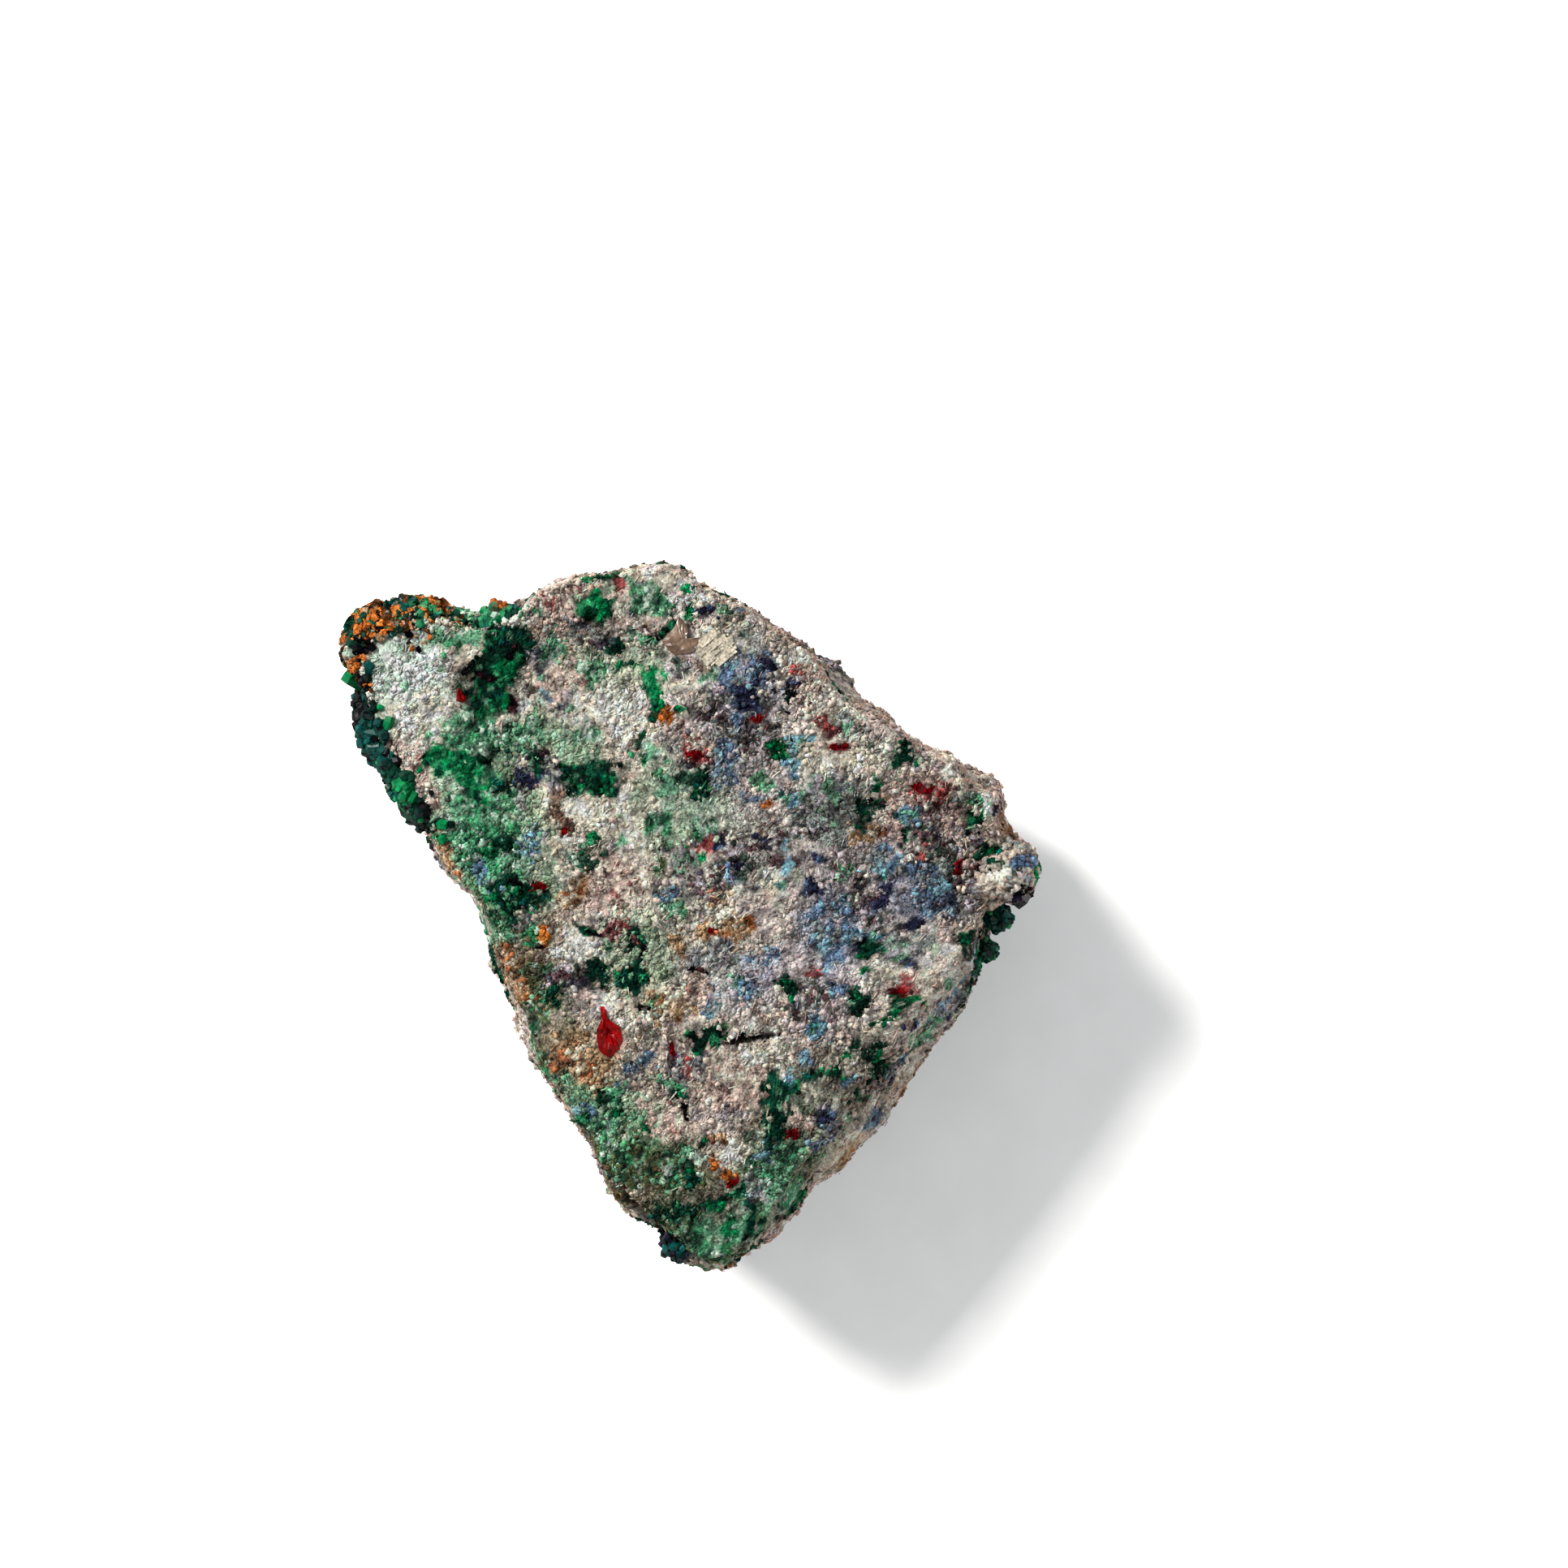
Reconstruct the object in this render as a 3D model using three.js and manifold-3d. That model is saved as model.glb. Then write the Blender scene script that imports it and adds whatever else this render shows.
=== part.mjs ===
// A hand specimen of dioptase: a slab of pale granular rock, broken flat above and below, with crusts of
// dioptase and limonite on its upper left flank, a blue and green knob at its right tip, and red, brown
// and pale crystals set in its broken face. Millimetres, +Z up. It lies on its flat underside at z = 0.
import * as THREE from "three";
import { ConvexGeometry } from "three/addons/geometries/ConvexGeometry.js";
import { mergeVertices } from "three/addons/utils/BufferGeometryUtils.js";
import Module from "manifold-3d";

const wasm = await Module();
wasm.setup();

// ---- Driving dimensions, mm ----

const GAP = 0.3; // left between pieces that touch
const ROCK_GAP = 1.35 * GAP; // the rock swells away from its middle, which is aslant to much of its flank
const MIDDLE = new THREE.Vector3(0, 2, 11); // the point inside the rock that its whole surface faces
const DRAWING_SHIFT = new THREE.Vector3(-0.16, -0.12, 0); // brings the middle of the whole over the origin

// The rock's widest line in plan, clockwise from its upper left corner.
const ROCK_EDGE = [
  [-28.6, 23.4], [-27.5, 25.0], [-25.3, 25.5], [-23.2, 26.3], [-21.2, 26.2], [-19.0, 25.6],
  [-17.4, 25.6], [-15.8, 26.4], [-14.6, 27.2], [-13.0, 28.3], [-11.1, 29.4], [-7.9, 30.1],
  [-4.9, 30.7], [-1.1, 30.5], [1.0, 28.6], [4.7, 27.0], [7.9, 25.0], [10.8, 22.8],
  [11.8, 20.9], [13.9, 18.8], [17.9, 16.8], [20.1, 15.1], [22.9, 13.9], [24.7, 11.9],
  [27.0, 10.4], [27.2, 8.5], [28.4, 6.8], [28.8, 5.0], [28.5, 2.9], [27.3, 1.3],
  [26.4, -0.5], [25.8, -2.1], [25.5, -4.0], [24.4, -6.9], [22.0, -9.9], [20.1, -12.8],
  [17.9, -16.5], [16.6, -18.2], [13.7, -21.3], [11.4, -23.0], [8.9, -26.2], [4.5, -29.9],
  [2.4, -30.6], [0.5, -30.2], [-1.3, -28.2], [-3.1, -27.0], [-6.2, -25.1], [-7.6, -22.8],
  [-8.7, -19.6], [-10.5, -17.0], [-13.0, -12.8], [-14.6, -8.6], [-16.5, -5.0], [-17.2, -1.2],
  [-18.8, 2.2], [-20.7, 3.6], [-21.9, 5.8], [-23.0, 8.6], [-23.8, 10.3], [-24.6, 12.2],
  [-26.0, 14.6], [-27.0, 16.0], [-27.6, 18.1], [-28.1, 20.0], [-28.6, 21.6],
];

// How the flank falls away, by share of the way round that edge: how far the face's rim lies inside the
// widest line, the height of the widest line, and how far the foot lies inside it.
const SIDES = [
  { at: 0.0, shoulder: 0.8, belt: 14.5, foot: 1.2 }, // upper left corner
  { at: 0.03, shoulder: 0.8, belt: 15.5, foot: 1.0 },
  { at: 0.07, shoulder: 1.0, belt: 16.0, foot: 0.6 }, // notch
  { at: 0.1, shoulder: 0.7, belt: 18.0, foot: 1.5 },
  { at: 0.16, shoulder: 0.8, belt: 17.0, foot: 3.0 }, // top
  { at: 0.25, shoulder: 0.6, belt: 18.0, foot: 1.0 },
  { at: 0.33, shoulder: 1.0, belt: 15.0, foot: 2.2 },
  { at: 0.39, shoulder: 1.8, belt: 12.0, foot: 3.0 }, // right tip
  { at: 0.43, shoulder: 2.2, belt: 11.5, foot: 1.6 },
  { at: 0.5, shoulder: 3.2, belt: 12.0, foot: 1.0 }, // rounded right edge
  { at: 0.57, shoulder: 3.2, belt: 10.0, foot: 1.4 },
  { at: 0.645, shoulder: 1.6, belt: 13.0, foot: 3.2 }, // bottom tip
  { at: 0.7, shoulder: 1.6, belt: 12.5, foot: 1.8 },
  { at: 0.78, shoulder: 0.9, belt: 16.0, foot: 1.0 },
  { at: 0.84, shoulder: 1.6, belt: 14.0, foot: 0.4 }, // bulge on the left edge
  { at: 0.89, shoulder: 1.4, belt: 13.0, foot: 1.2 },
  { at: 0.94, shoulder: 0.8, belt: 12.0, foot: 1.0 }, // under the dioptase crust
  { at: 1.0, shoulder: 0.8, belt: 14.5, foot: 1.2 },
];

// Flat breaks across the flank: the way each faces in plan and how far up or down, in degrees, and the
// height at which it leaves the widest line.
const BREAKS = [
  { azimuth: 56, tilt: -14, from: 17 }, // long upper edge
  { azimuth: 76, tilt: -42, from: 11 },
  { azimuth: 36, tilt: -40, from: 10 },
  { azimuth: 4, tilt: -46, from: 9 }, // right tip
  { azimuth: -34, tilt: -26, from: 11 }, // lower right edge
  { azimuth: -52, tilt: -46, from: 8 },
  { azimuth: -38, tilt: 32, from: 15 },
  { azimuth: -84, tilt: -38, from: 12 }, // bottom tip
  { azimuth: -132, tilt: -36, from: 11 },
  { azimuth: -150, tilt: -10, from: 16 }, // lower left edge
  { azimuth: -170, tilt: -44, from: 8 },
  { azimuth: 156, tilt: -38, from: 9 }, // upper left corner
  { azimuth: 112, tilt: -24, from: 13 }, // top edge
  { azimuth: 98, tilt: -52, from: 7 },
];

// The broken face is the lowest of these planes at each place: height over the origin and slopes.
const FACE_PLANES = [
  { height: 22.4, x: 0.0, y: 0.01 }, // broad middle
  { height: 24.0, x: 0.0, y: 0.13 }, // falls to the bottom tip
  { height: 24.4, x: -0.15, y: 0.0 }, // falls to the right tip
  { height: 24.6, x: 0.11, y: 0.0 }, // falls to the crust
  { height: 25.3, x: -0.1, y: -0.1 }, // falls to the long upper edge
];
const PLANE_BLEND = 0.5; // how softly two planes meet

const FOOT_HEIGHT = 2.4; // the foot of the flank over the flat underside
const FLAT_FROM = 0.42; // share of the way from foot to middle where the underside is flat
const BELT_AT = 0.45; // share of the flank's rows that lie over the widest line
const FOOT_PULL = 1.3; // over 1, the flank stays steep and draws in late
const FOOT_ROUGH = 0.2; // share of the outline's roughness that is left at the foot
const ROUGH_FROM = 0.5; // share of the way out over the face where that roughness begins
const FOOT_LIFT = -0.5; // how far down the foot faces, of 1

// Broken facets: triangle waves of falling length in directions spread over the sphere.
const WAVES = 6;
const LONGEST_WAVE = 19;
const WAVE_RATIO = 0.72;
const WAVE_HEIGHT = 0.6;
const PHASE_STEP = 0.37;
const FACE_RELIEF = 0.45; // share of the waves that shows on the face
const BELT_RELIEF = 0.12; // and on the widest line
const FOOT_RELIEF = 2.0; // and toward the foot
const EVEN_OUT = 0.03; // share of the way round over which the edge's roughness is evened out

const FACE_CELLS = 22; // cells of the square net over the face, and over the underside
const FLANK_ROWS = [1.1, 1.2, 1.32, 1.45, 1.58, 1.72, 1.86];

// Crusts on the flank, each a ragged oval: the share of the edge and the row (1 at the face's rim, 2 at
// the foot) of its middle, its half length along the edge in mm, its half height in rows, how thick it
// is, and how many crystals of what size stand on it.
const CRUSTS = {
  dioptase_crust: { at: 0.945, row: 1.34, along: 8.3, down: 0.37, thick: 0.7, crystals: 52, size: 1.6 },
  limonite_crust: { at: 1.0185, row: 1.22, along: 5.9, down: 0.26, thick: 1.6, crystals: 9, size: 1.4 },
  dioptase_rim: { at: 0.073, row: 1.2, along: 2.1, down: 0.14, thick: 0.7, crystals: 9, size: 1.1 },
  azurite_knob: { at: 0.3965, row: 1.18, along: 2.7, down: 0.34, thick: 1.5, crystals: 10, size: 1.1 },
  dioptase_patch_upper: { at: 0.42, row: 1.3, along: 1.5, down: 0.1, thick: 0.9, crystals: 6, size: 1.1 },
  dioptase_patch_lower: { at: 0.438, row: 1.42, along: 1.3, down: 0.08, thick: 0.6, crystals: 5, size: 0.9 },
  dioptase_tip: { at: 0.666, row: 1.34, along: 1.9, down: 0.17, thick: 0.4, crystals: 8, size: 1.1 },
};
const CRUST_EDGE = 0.6; // height of a crust's rim over the rock
const CRUST_ROOT = 1.0; // how far its raw solid reaches into the rock before it is cut
const CRUST_RINGS = 5;
const CRUST_STEP = 1.6; // length of a cell round its rim
const CRUST_RAGGED = 0.2; // how unevenly far it spreads
const CRUST_SQUARE = 0.85; // under 1, the oval is a little square
const CRUST_LUMP = { least: 0.6, range: 0.8 }; // thickness of a lump, as a share of the crust's

// A crystal on a crust, as shares of the crust's crystal size: its radius, its length, and the sizes it
// comes in. It leans out of upright by up to half of lean, stands in the middle share of the crust and
// starts that much over the rock, in mm.
const CRUST_CRYSTAL = {
  radius: 0.42,
  length: 1.1,
  least: 0.6,
  range: 0.6,
  lean: 0.9,
  within: 0.92,
  over: 0.2,
};
const PRISM_TIPS = [0.9, 0.45]; // in radii, how far under its tip a prism's edges end, by turns

// Single crystals on the flank, seated on the rock between the crust's crystals.
const SEATED_SPIN = 0.4; // turn about their own length, radians
const SEATED = {
  dioptase_prism: { at: 0.982, row: 1.3, radius: 0.7, length: 2.6, lean: [0.4, 0.6, 0.5] },
  dioptase_plate: { at: 0.945, row: 1.3, radius: 1.25, length: 2.0, lean: [-0.2, -0.5, 0.3] },
  black_crystal: { at: 0.4045, row: 1.2, radius: 0.9, length: 2.3, lean: [0.0, -0.2, 0.4] },
};

// Crystals set in the broken face: middle in plan, half sizes along and across, turn in degrees,
// how deep they reach and how far they stand out.
const SET_IN_SIDES = 7;
const SET_IN_UNEVEN = 0.35; // how unevenly the corners are spaced, of one side
const SET_IN_TOP = 0.78; // width of its flat top and of its foot, as shares of its widest
const SET_IN_FOOT = 0.45;
const SET_IN = {
  cuprite_large: { x: -6.9, y: -10.2, along: 2.0, across: 1.2, turn: 100, deep: 1.8, proud: 0.35 },
  cuprite_upper: { x: -19.0, y: 21.8, along: 0.85, across: 0.5, turn: 60, deep: 0.9, proud: 0.3 },
  cuprite_lower: { x: -19.6, y: 19.3, along: 0.8, across: 0.42, turn: 85, deep: 0.9, proud: 0.3 },
  smoky_cleavage: { x: -0.1, y: 24.2, along: 1.9, across: 1.3, turn: 60, deep: 1.2, proud: 0.2 },
  calcite_cleavage: { x: 2.5, y: 23.1, along: 1.6, across: 1.0, turn: 40, deep: 1.3, proud: 0.35 },
};

// ---- Helpers ----

const GOLDEN_ANGLE = Math.PI * (3 - Math.sqrt(5));

// A number in 0..1 that jumps about evenly as i counts up; each kind is its own sequence.
function scatter(i, kind) {
  return ((i + 1) * (0.6180339887 + 0.1234567 * kind)) % 1;
}

function smooth(x) {
  const t = Math.min(Math.max(x, 0), 1);
  return t * t * (3 - 2 * t);
}

function solidOf(geometry) {
  geometry.deleteAttribute("normal");
  geometry.deleteAttribute("uv");
  const merged = mergeVertices(geometry, 1e-4);
  return new wasm.Manifold(
    new wasm.Mesh({
      numProp: 3,
      vertProperties: merged.attributes.position.array,
      triVerts: new Uint32Array(merged.index.array),
    }),
  );
}

function largestBody(solid) {
  return solid.decompose().reduce((a, b) => (a.volume() > b.volume() ? a : b));
}

function meshOf(solid, name, material) {
  const { vertProperties, triVerts } = solid.getMesh();
  const geometry = new THREE.BufferGeometry();
  geometry.setAttribute("position", new THREE.BufferAttribute(vertProperties, 3));
  geometry.setIndex(new THREE.BufferAttribute(triVerts, 1));
  geometry.computeVertexNormals();
  const mesh = new THREE.Mesh(geometry, material);
  mesh.name = name;
  return mesh;
}

// A closed solid from rings of points, each ring closed on itself, with a pole before the first ring
// and one after the last.
function solidOfRings(firstPole, rings, lastPole) {
  const count = rings[0].length;
  const points = [firstPole, ...rings.flat(), lastPole];
  const last = points.length - 1;
  const index = [];
  for (let i = 0; i < count; i++) {
    const next = (i + 1) % count;
    index.push(0, 1 + next, 1 + i);
    for (let r = 0; r < rings.length - 1; r++) {
      const inner = 1 + r * count;
      const outer = inner + count;
      index.push(inner + i, inner + next, outer + next);
      index.push(inner + i, outer + next, outer + i);
    }
    const rim = last - count;
    index.push(last, rim + i, rim + next);
  }
  const geometry = new THREE.BufferGeometry().setFromPoints(points);
  geometry.setIndex(index);
  return solidOf(geometry);
}

// ---- The rock's surface ----

const EDGE_STEPS = 720;
const edgeCurve = new THREE.CatmullRomCurve3(
  ROCK_EDGE.map(([x, y]) => new THREE.Vector3(x, y, MIDDLE.z)),
  true,
  "centripetal",
);
edgeCurve.arcLengthDivisions = 2000;
const roughEdge = edgeCurve.getSpacedPoints(EDGE_STEPS).slice(0, EDGE_STEPS);

// The same edge with each point moved to the mean of its neighbourhood.
const evenEdge = roughEdge.map((_, i) => {
  const half = Math.round(EVEN_OUT * EDGE_STEPS);
  const mean = new THREE.Vector3();
  for (let k = -half; k <= half; k++) {
    mean.add(roughEdge[(i + k + EDGE_STEPS) % EDGE_STEPS]);
  }
  return mean.divideScalar(2 * half + 1);
});

// A point of the edge, between evened out (0) and rough (1).
function edgeAt(share, roughness) {
  const place = (((share % 1) + 1) % 1) * EDGE_STEPS;
  const i = Math.floor(place) % EDGE_STEPS;
  const next = (i + 1) % EDGE_STEPS;
  const rough = roughEdge[i].clone().lerp(roughEdge[next], place - Math.floor(place));
  const even = evenEdge[i].clone().lerp(evenEdge[next], place - Math.floor(place));
  return even.lerp(rough, roughness);
}

const breakPlanes = BREAKS.map(({ azimuth, tilt, from }) => {
  const turn = THREE.MathUtils.degToRad(azimuth);
  const lean = THREE.MathUtils.degToRad(tilt);
  const flat = new THREE.Vector3(Math.cos(turn), Math.sin(turn), 0);
  const reach = Math.max(...roughEdge.map((p) => p.clone().sub(MIDDLE).dot(flat)));
  const facing = flat.clone().multiplyScalar(Math.cos(lean));
  facing.z = Math.sin(lean);
  return { facing, distance: reach * Math.cos(lean) + (from - MIDDLE.z) * Math.sin(lean) };
});

// Draws a point in toward the middle until no break lies behind it.
function cutByBreaks(point) {
  const ray = point.clone().sub(MIDDLE);
  let keep = 1;
  for (const { facing, distance } of breakPlanes) {
    const reach = ray.dot(facing);
    if (reach > distance) keep = Math.min(keep, distance / reach);
  }
  return ray.multiplyScalar(keep).add(MIDDLE);
}

function sideAt(share) {
  const at = ((share % 1) + 1) % 1;
  const next = SIDES.findIndex((s) => s.at > at);
  const a = SIDES[next - 1];
  const b = SIDES[next];
  const mix = (at - a.at) / (b.at - a.at);
  const between = (key) => a[key] + (b[key] - a[key]) * mix;
  return { shoulder: between("shoulder"), belt: between("belt"), foot: between("foot") };
}

function faceHeight(x, y) {
  let sum = 0;
  for (const plane of FACE_PLANES) {
    sum += Math.exp(-(plane.height + plane.x * x + plane.y * y) / PLANE_BLEND);
  }
  return -PLANE_BLEND * Math.log(sum);
}

function facets(point) {
  let sum = 0;
  for (let i = 0; i < WAVES; i++) {
    const length = LONGEST_WAVE * WAVE_RATIO ** i;
    const z = 1 - (2 * (i + 0.5)) / WAVES;
    const flat = Math.sqrt(1 - z * z);
    const turn = i * GOLDEN_ANGLE;
    const along = point.x * flat * Math.cos(turn) + point.y * flat * Math.sin(turn) + point.z * z;
    const phase = along / length + i * PHASE_STEP;
    const wave = Math.abs(phase - Math.floor(phase) - 0.5) * 4 - 1;
    sum += (wave * WAVE_HEIGHT * length) / LONGEST_WAVE;
  }
  return sum;
}

// A point of the rock's surface. share runs round the edge; row runs from the middle of the face (0)
// to the face's rim (1), down the flank to the foot (2) and in to the middle of the underside (3).
function rockPoint(share, row, clearance = 0) {
  const side = sideAt(share);
  const down = Math.min(Math.max((row - 1 - BELT_AT) / (1 - BELT_AT), 0), 1);
  const outward = smooth((row - ROUGH_FROM) / (1 - ROUGH_FROM));
  const roughness = row < 1 ? outward : 1 - (1 - FOOT_ROUGH) * smooth(down * 1.5);
  const out = edgeAt(share, roughness).sub(MIDDLE);
  const reach = out.length();
  out.normalize();
  const at = (distance, z) =>
    new THREE.Vector3(MIDDLE.x + out.x * distance, MIDDLE.y + out.y * distance, z);
  const rim = at(reach - side.shoulder, 0);
  let point;
  let lift; // 1 straight up, 0 straight out, -1 straight down
  let relief;
  if (row <= 1) {
    point = at((reach - side.shoulder) * row, 0);
    point.z = faceHeight(point.x, point.y);
    lift = 1;
    relief = FACE_RELIEF;
  } else if (row <= 1 + BELT_AT) {
    const angle = (Math.PI / 2) * (1 - (row - 1) / BELT_AT);
    const rise = faceHeight(rim.x, rim.y) - side.belt;
    point = at(reach - side.shoulder * (1 - Math.cos(angle)), side.belt + rise * Math.sin(angle));
    lift = Math.sin(angle);
    relief = BELT_RELIEF + (FACE_RELIEF - BELT_RELIEF) * lift;
  } else if (row <= 2) {
    point = at(reach - side.foot * down ** FOOT_PULL, side.belt + (FOOT_HEIGHT - side.belt) * down);
    lift = FOOT_LIFT * down;
    relief = BELT_RELIEF + (FOOT_RELIEF - BELT_RELIEF) * smooth(down * 2);
  } else {
    const inward = row - 2;
    const flat = smooth(inward / FLAT_FROM);
    point = at((reach - side.foot) * (1 - inward), FOOT_HEIGHT * (1 - flat));
    lift = FOOT_LIFT - (1 + FOOT_LIFT) * flat;
    relief = FOOT_RELIEF * (1 - flat);
  }
  point = cutByBreaks(point);
  const push = relief * facets(point) + clearance;
  point.addScaledVector(out, push * Math.sqrt(1 - lift * lift));
  point.z = Math.max(point.z + push * lift, -clearance); // nothing hangs below the flat underside
  return point;
}

// The way the surface faces, taken across a small patch of it.
function rockNormal(share, row) {
  const round = 0.004;
  const deep = 0.04;
  const along = rockPoint(share + round, row).sub(rockPoint(share - round, row));
  const down = rockPoint(share, row + deep).sub(rockPoint(share, row - deep));
  return along.cross(down).normalize();
}

// The share of the way round and the distance from the middle of a point of the square net, whose
// corners are at -1 and 1. The way round starts at the upper left corner and runs clockwise.
function netPlace(a, b) {
  const ring = Math.max(Math.abs(a), Math.abs(b));
  if (ring === 0) return { share: 0, ring };
  const x = a / ring;
  const y = b / ring;
  let share;
  if (y === 1) share = (x + 1) / 8;
  else if (x === 1) share = (3 - y) / 8;
  else if (y === -1) share = (5 - x) / 8;
  else share = (7 + y) / 8;
  return { share: share % 1, ring };
}

// The rock as a square net over the face, another over the underside and rows of cells between them.
function rockSolid(clearance) {
  const n = FACE_CELLS;
  const points = [];
  const index = [];
  const quad = (a, b, c, d) => index.push(a, b, c, a, c, d);
  const net = (rowOf, up) => {
    const first = points.length;
    for (let j = 0; j <= n; j++) {
      for (let i = 0; i <= n; i++) {
        const { share, ring } = netPlace((2 * i) / n - 1, (2 * j) / n - 1);
        points.push(rockPoint(share, rowOf(ring), clearance));
      }
    }
    for (let j = 0; j < n; j++) {
      for (let i = 0; i < n; i++) {
        const p = first + j * (n + 1) + i;
        if (up) quad(p, p + 1, p + n + 2, p + n + 1);
        else quad(p, p + n + 1, p + n + 2, p + 1);
      }
    }
  };
  net((ring) => ring, true);
  net((ring) => 3 - ring, false);
  // Rows of the flank, one column for each step round the net's rim.
  const columns = 4 * n;
  const rows = [1, ...FLANK_ROWS, 2];
  const first = points.length;
  for (const row of rows) {
    for (let i = 0; i < columns; i++) points.push(rockPoint(i / columns, row, clearance));
  }
  for (let r = 0; r < rows.length - 1; r++) {
    for (let i = 0; i < columns; i++) {
      const above = first + r * columns;
      const below = above + columns;
      const next = (i + 1) % columns;
      quad(above + i, above + next, below + next, below + i);
    }
  }
  const geometry = new THREE.BufferGeometry().setFromPoints(points);
  geometry.setIndex(index);
  return solidOf(geometry);
}

// ---- Crystals ----

// A stubby six-sided prism that ends in three rhombohedron faces, from its root at the origin along +Z.
function prismPoints(radius, length) {
  const points = [];
  for (let i = 0; i < 6; i++) {
    const turn = (Math.PI / 3) * i;
    const x = radius * Math.cos(turn);
    const y = radius * Math.sin(turn);
    points.push(new THREE.Vector3(x, y, 0));
    points.push(new THREE.Vector3(x, y, length - radius * PRISM_TIPS[i % 2]));
  }
  points.push(new THREE.Vector3(0, 0, length));
  return points;
}

function crystal(root, direction, radius, length, spin) {
  const turn = new THREE.Quaternion()
    .setFromUnitVectors(new THREE.Vector3(0, 0, 1), direction.clone().normalize())
    .multiply(new THREE.Quaternion().setFromAxisAngle(new THREE.Vector3(0, 0, 1), spin));
  const points = prismPoints(radius, length).map((p) => p.applyQuaternion(turn).add(root));
  return solidOf(new ConvexGeometry(points));
}

// A crystal seated on the flank. grow swells it by that much on every side.
function seatedCrystal({ at, row, radius, length, lean }, grow) {
  const direction = rockNormal(at, row).add(new THREE.Vector3(...lean)).normalize();
  const root = rockPoint(at, row).addScaledVector(direction, -CRUST_ROOT - grow);
  return crystal(root, direction, radius + grow, length + CRUST_ROOT + 2 * grow, SEATED_SPIN);
}

// A crystal set in the face: a double cone of flat sides, cut off level above.
function setInCrystal({ x, y, along, across, turn, deep, proud }, grow) {
  const middle = new THREE.Vector3(x, y, faceHeight(x, y));
  middle.z += FACE_RELIEF * facets(middle);
  const angle = THREE.MathUtils.degToRad(turn);
  const points = [];
  const layer = (share, z) => {
    for (let i = 0; i < SET_IN_SIDES; i++) {
      const round = (2 * Math.PI * (i + SET_IN_UNEVEN * scatter(i, 1))) / SET_IN_SIDES;
      const a = (along * share + grow) * Math.cos(round);
      const b = (across * share + grow) * Math.sin(round);
      const dx = a * Math.cos(angle) - b * Math.sin(angle);
      const dy = a * Math.sin(angle) + b * Math.cos(angle);
      points.push(new THREE.Vector3(middle.x + dx, middle.y + dy, middle.z + z));
    }
  };
  layer(SET_IN_TOP, proud + grow);
  layer(1, 0);
  layer(SET_IN_FOOT, -deep - grow);
  return solidOf(new ConvexGeometry(points));
}

// ---- Crusts ----

// A place on an oval crust: turn runs round it and reach from its middle (0) to its ragged rim (1).
function crustPlace({ at, row, along, down }, turn, reach, seed) {
  const ragged = Math.sin(2 * turn + seed) + Math.sin(5 * turn + 2 * seed);
  const spread = reach * (1 - CRUST_RAGGED + CRUST_RAGGED * 0.5 * ragged);
  const round = (x) => Math.sign(x) * Math.abs(x) ** CRUST_SQUARE;
  return {
    share: at + (along / edgeCurve.getLength()) * spread * round(Math.cos(turn)),
    row: row + down * spread * round(Math.sin(turn)),
  };
}

// The raw body of a crust: thick in the middle and thin at its rim, and closed below the surface.
function crustBody(spec, seed) {
  const columns = Math.max(10, Math.round((4 * spec.along) / CRUST_STEP));
  const place = (i, reach, height) => {
    const { share, row } = crustPlace(spec, (-2 * Math.PI * i) / columns, reach, seed);
    return rockPoint(share, row).addScaledVector(rockNormal(share, row), height);
  };
  const rings = [];
  for (let r = 1; r <= CRUST_RINGS; r++) {
    const reach = r / CRUST_RINGS;
    const ring = [];
    for (let i = 0; i < columns; i++) {
      const bump = CRUST_LUMP.least + CRUST_LUMP.range * scatter(i + 31 * r, seed);
      ring.push(place(i, reach, CRUST_EDGE + spec.thick * Math.sqrt(1 - reach * reach) * bump));
    }
    rings.push(ring);
  }
  for (let r = CRUST_RINGS; r >= 1; r--) {
    rings.push(Array.from({ length: columns }, (_, i) => place(i, r / CRUST_RINGS, -CRUST_ROOT)));
  }
  return solidOfRings(place(0, 0, CRUST_EDGE + spec.thick), rings, place(0, 0, -CRUST_ROOT));
}

function crustSolid(spec, seed, rockPlus) {
  const { radius, length, least, range, lean, within, over } = CRUST_CRYSTAL;
  let solid = crustBody(spec, seed);
  for (let i = 0; i < spec.crystals; i++) {
    const reach = within * Math.sqrt((i + 0.5) / spec.crystals);
    const { share, row } = crustPlace(spec, i * GOLDEN_ANGLE, reach, seed);
    const jitter = new THREE.Vector3(
      scatter(i, seed + 1) - 0.5,
      scatter(i, seed + 2) - 0.5,
      scatter(i, seed + 3) - 0.3,
    );
    const direction = rockNormal(share, row).addScaledVector(jitter, lean).normalize();
    const size = spec.size * (least + range * scatter(i, seed + 4));
    const root = rockPoint(share, row).addScaledVector(direction, over);
    solid = solid.add(crystal(root, direction, size * radius, size * length, i));
  }
  return solid.subtract(rockPlus);
}

// ---- Finishes ----

function finish(color, roughness) {
  return new THREE.MeshStandardMaterial({ color, roughness, metalness: 0 });
}

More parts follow.
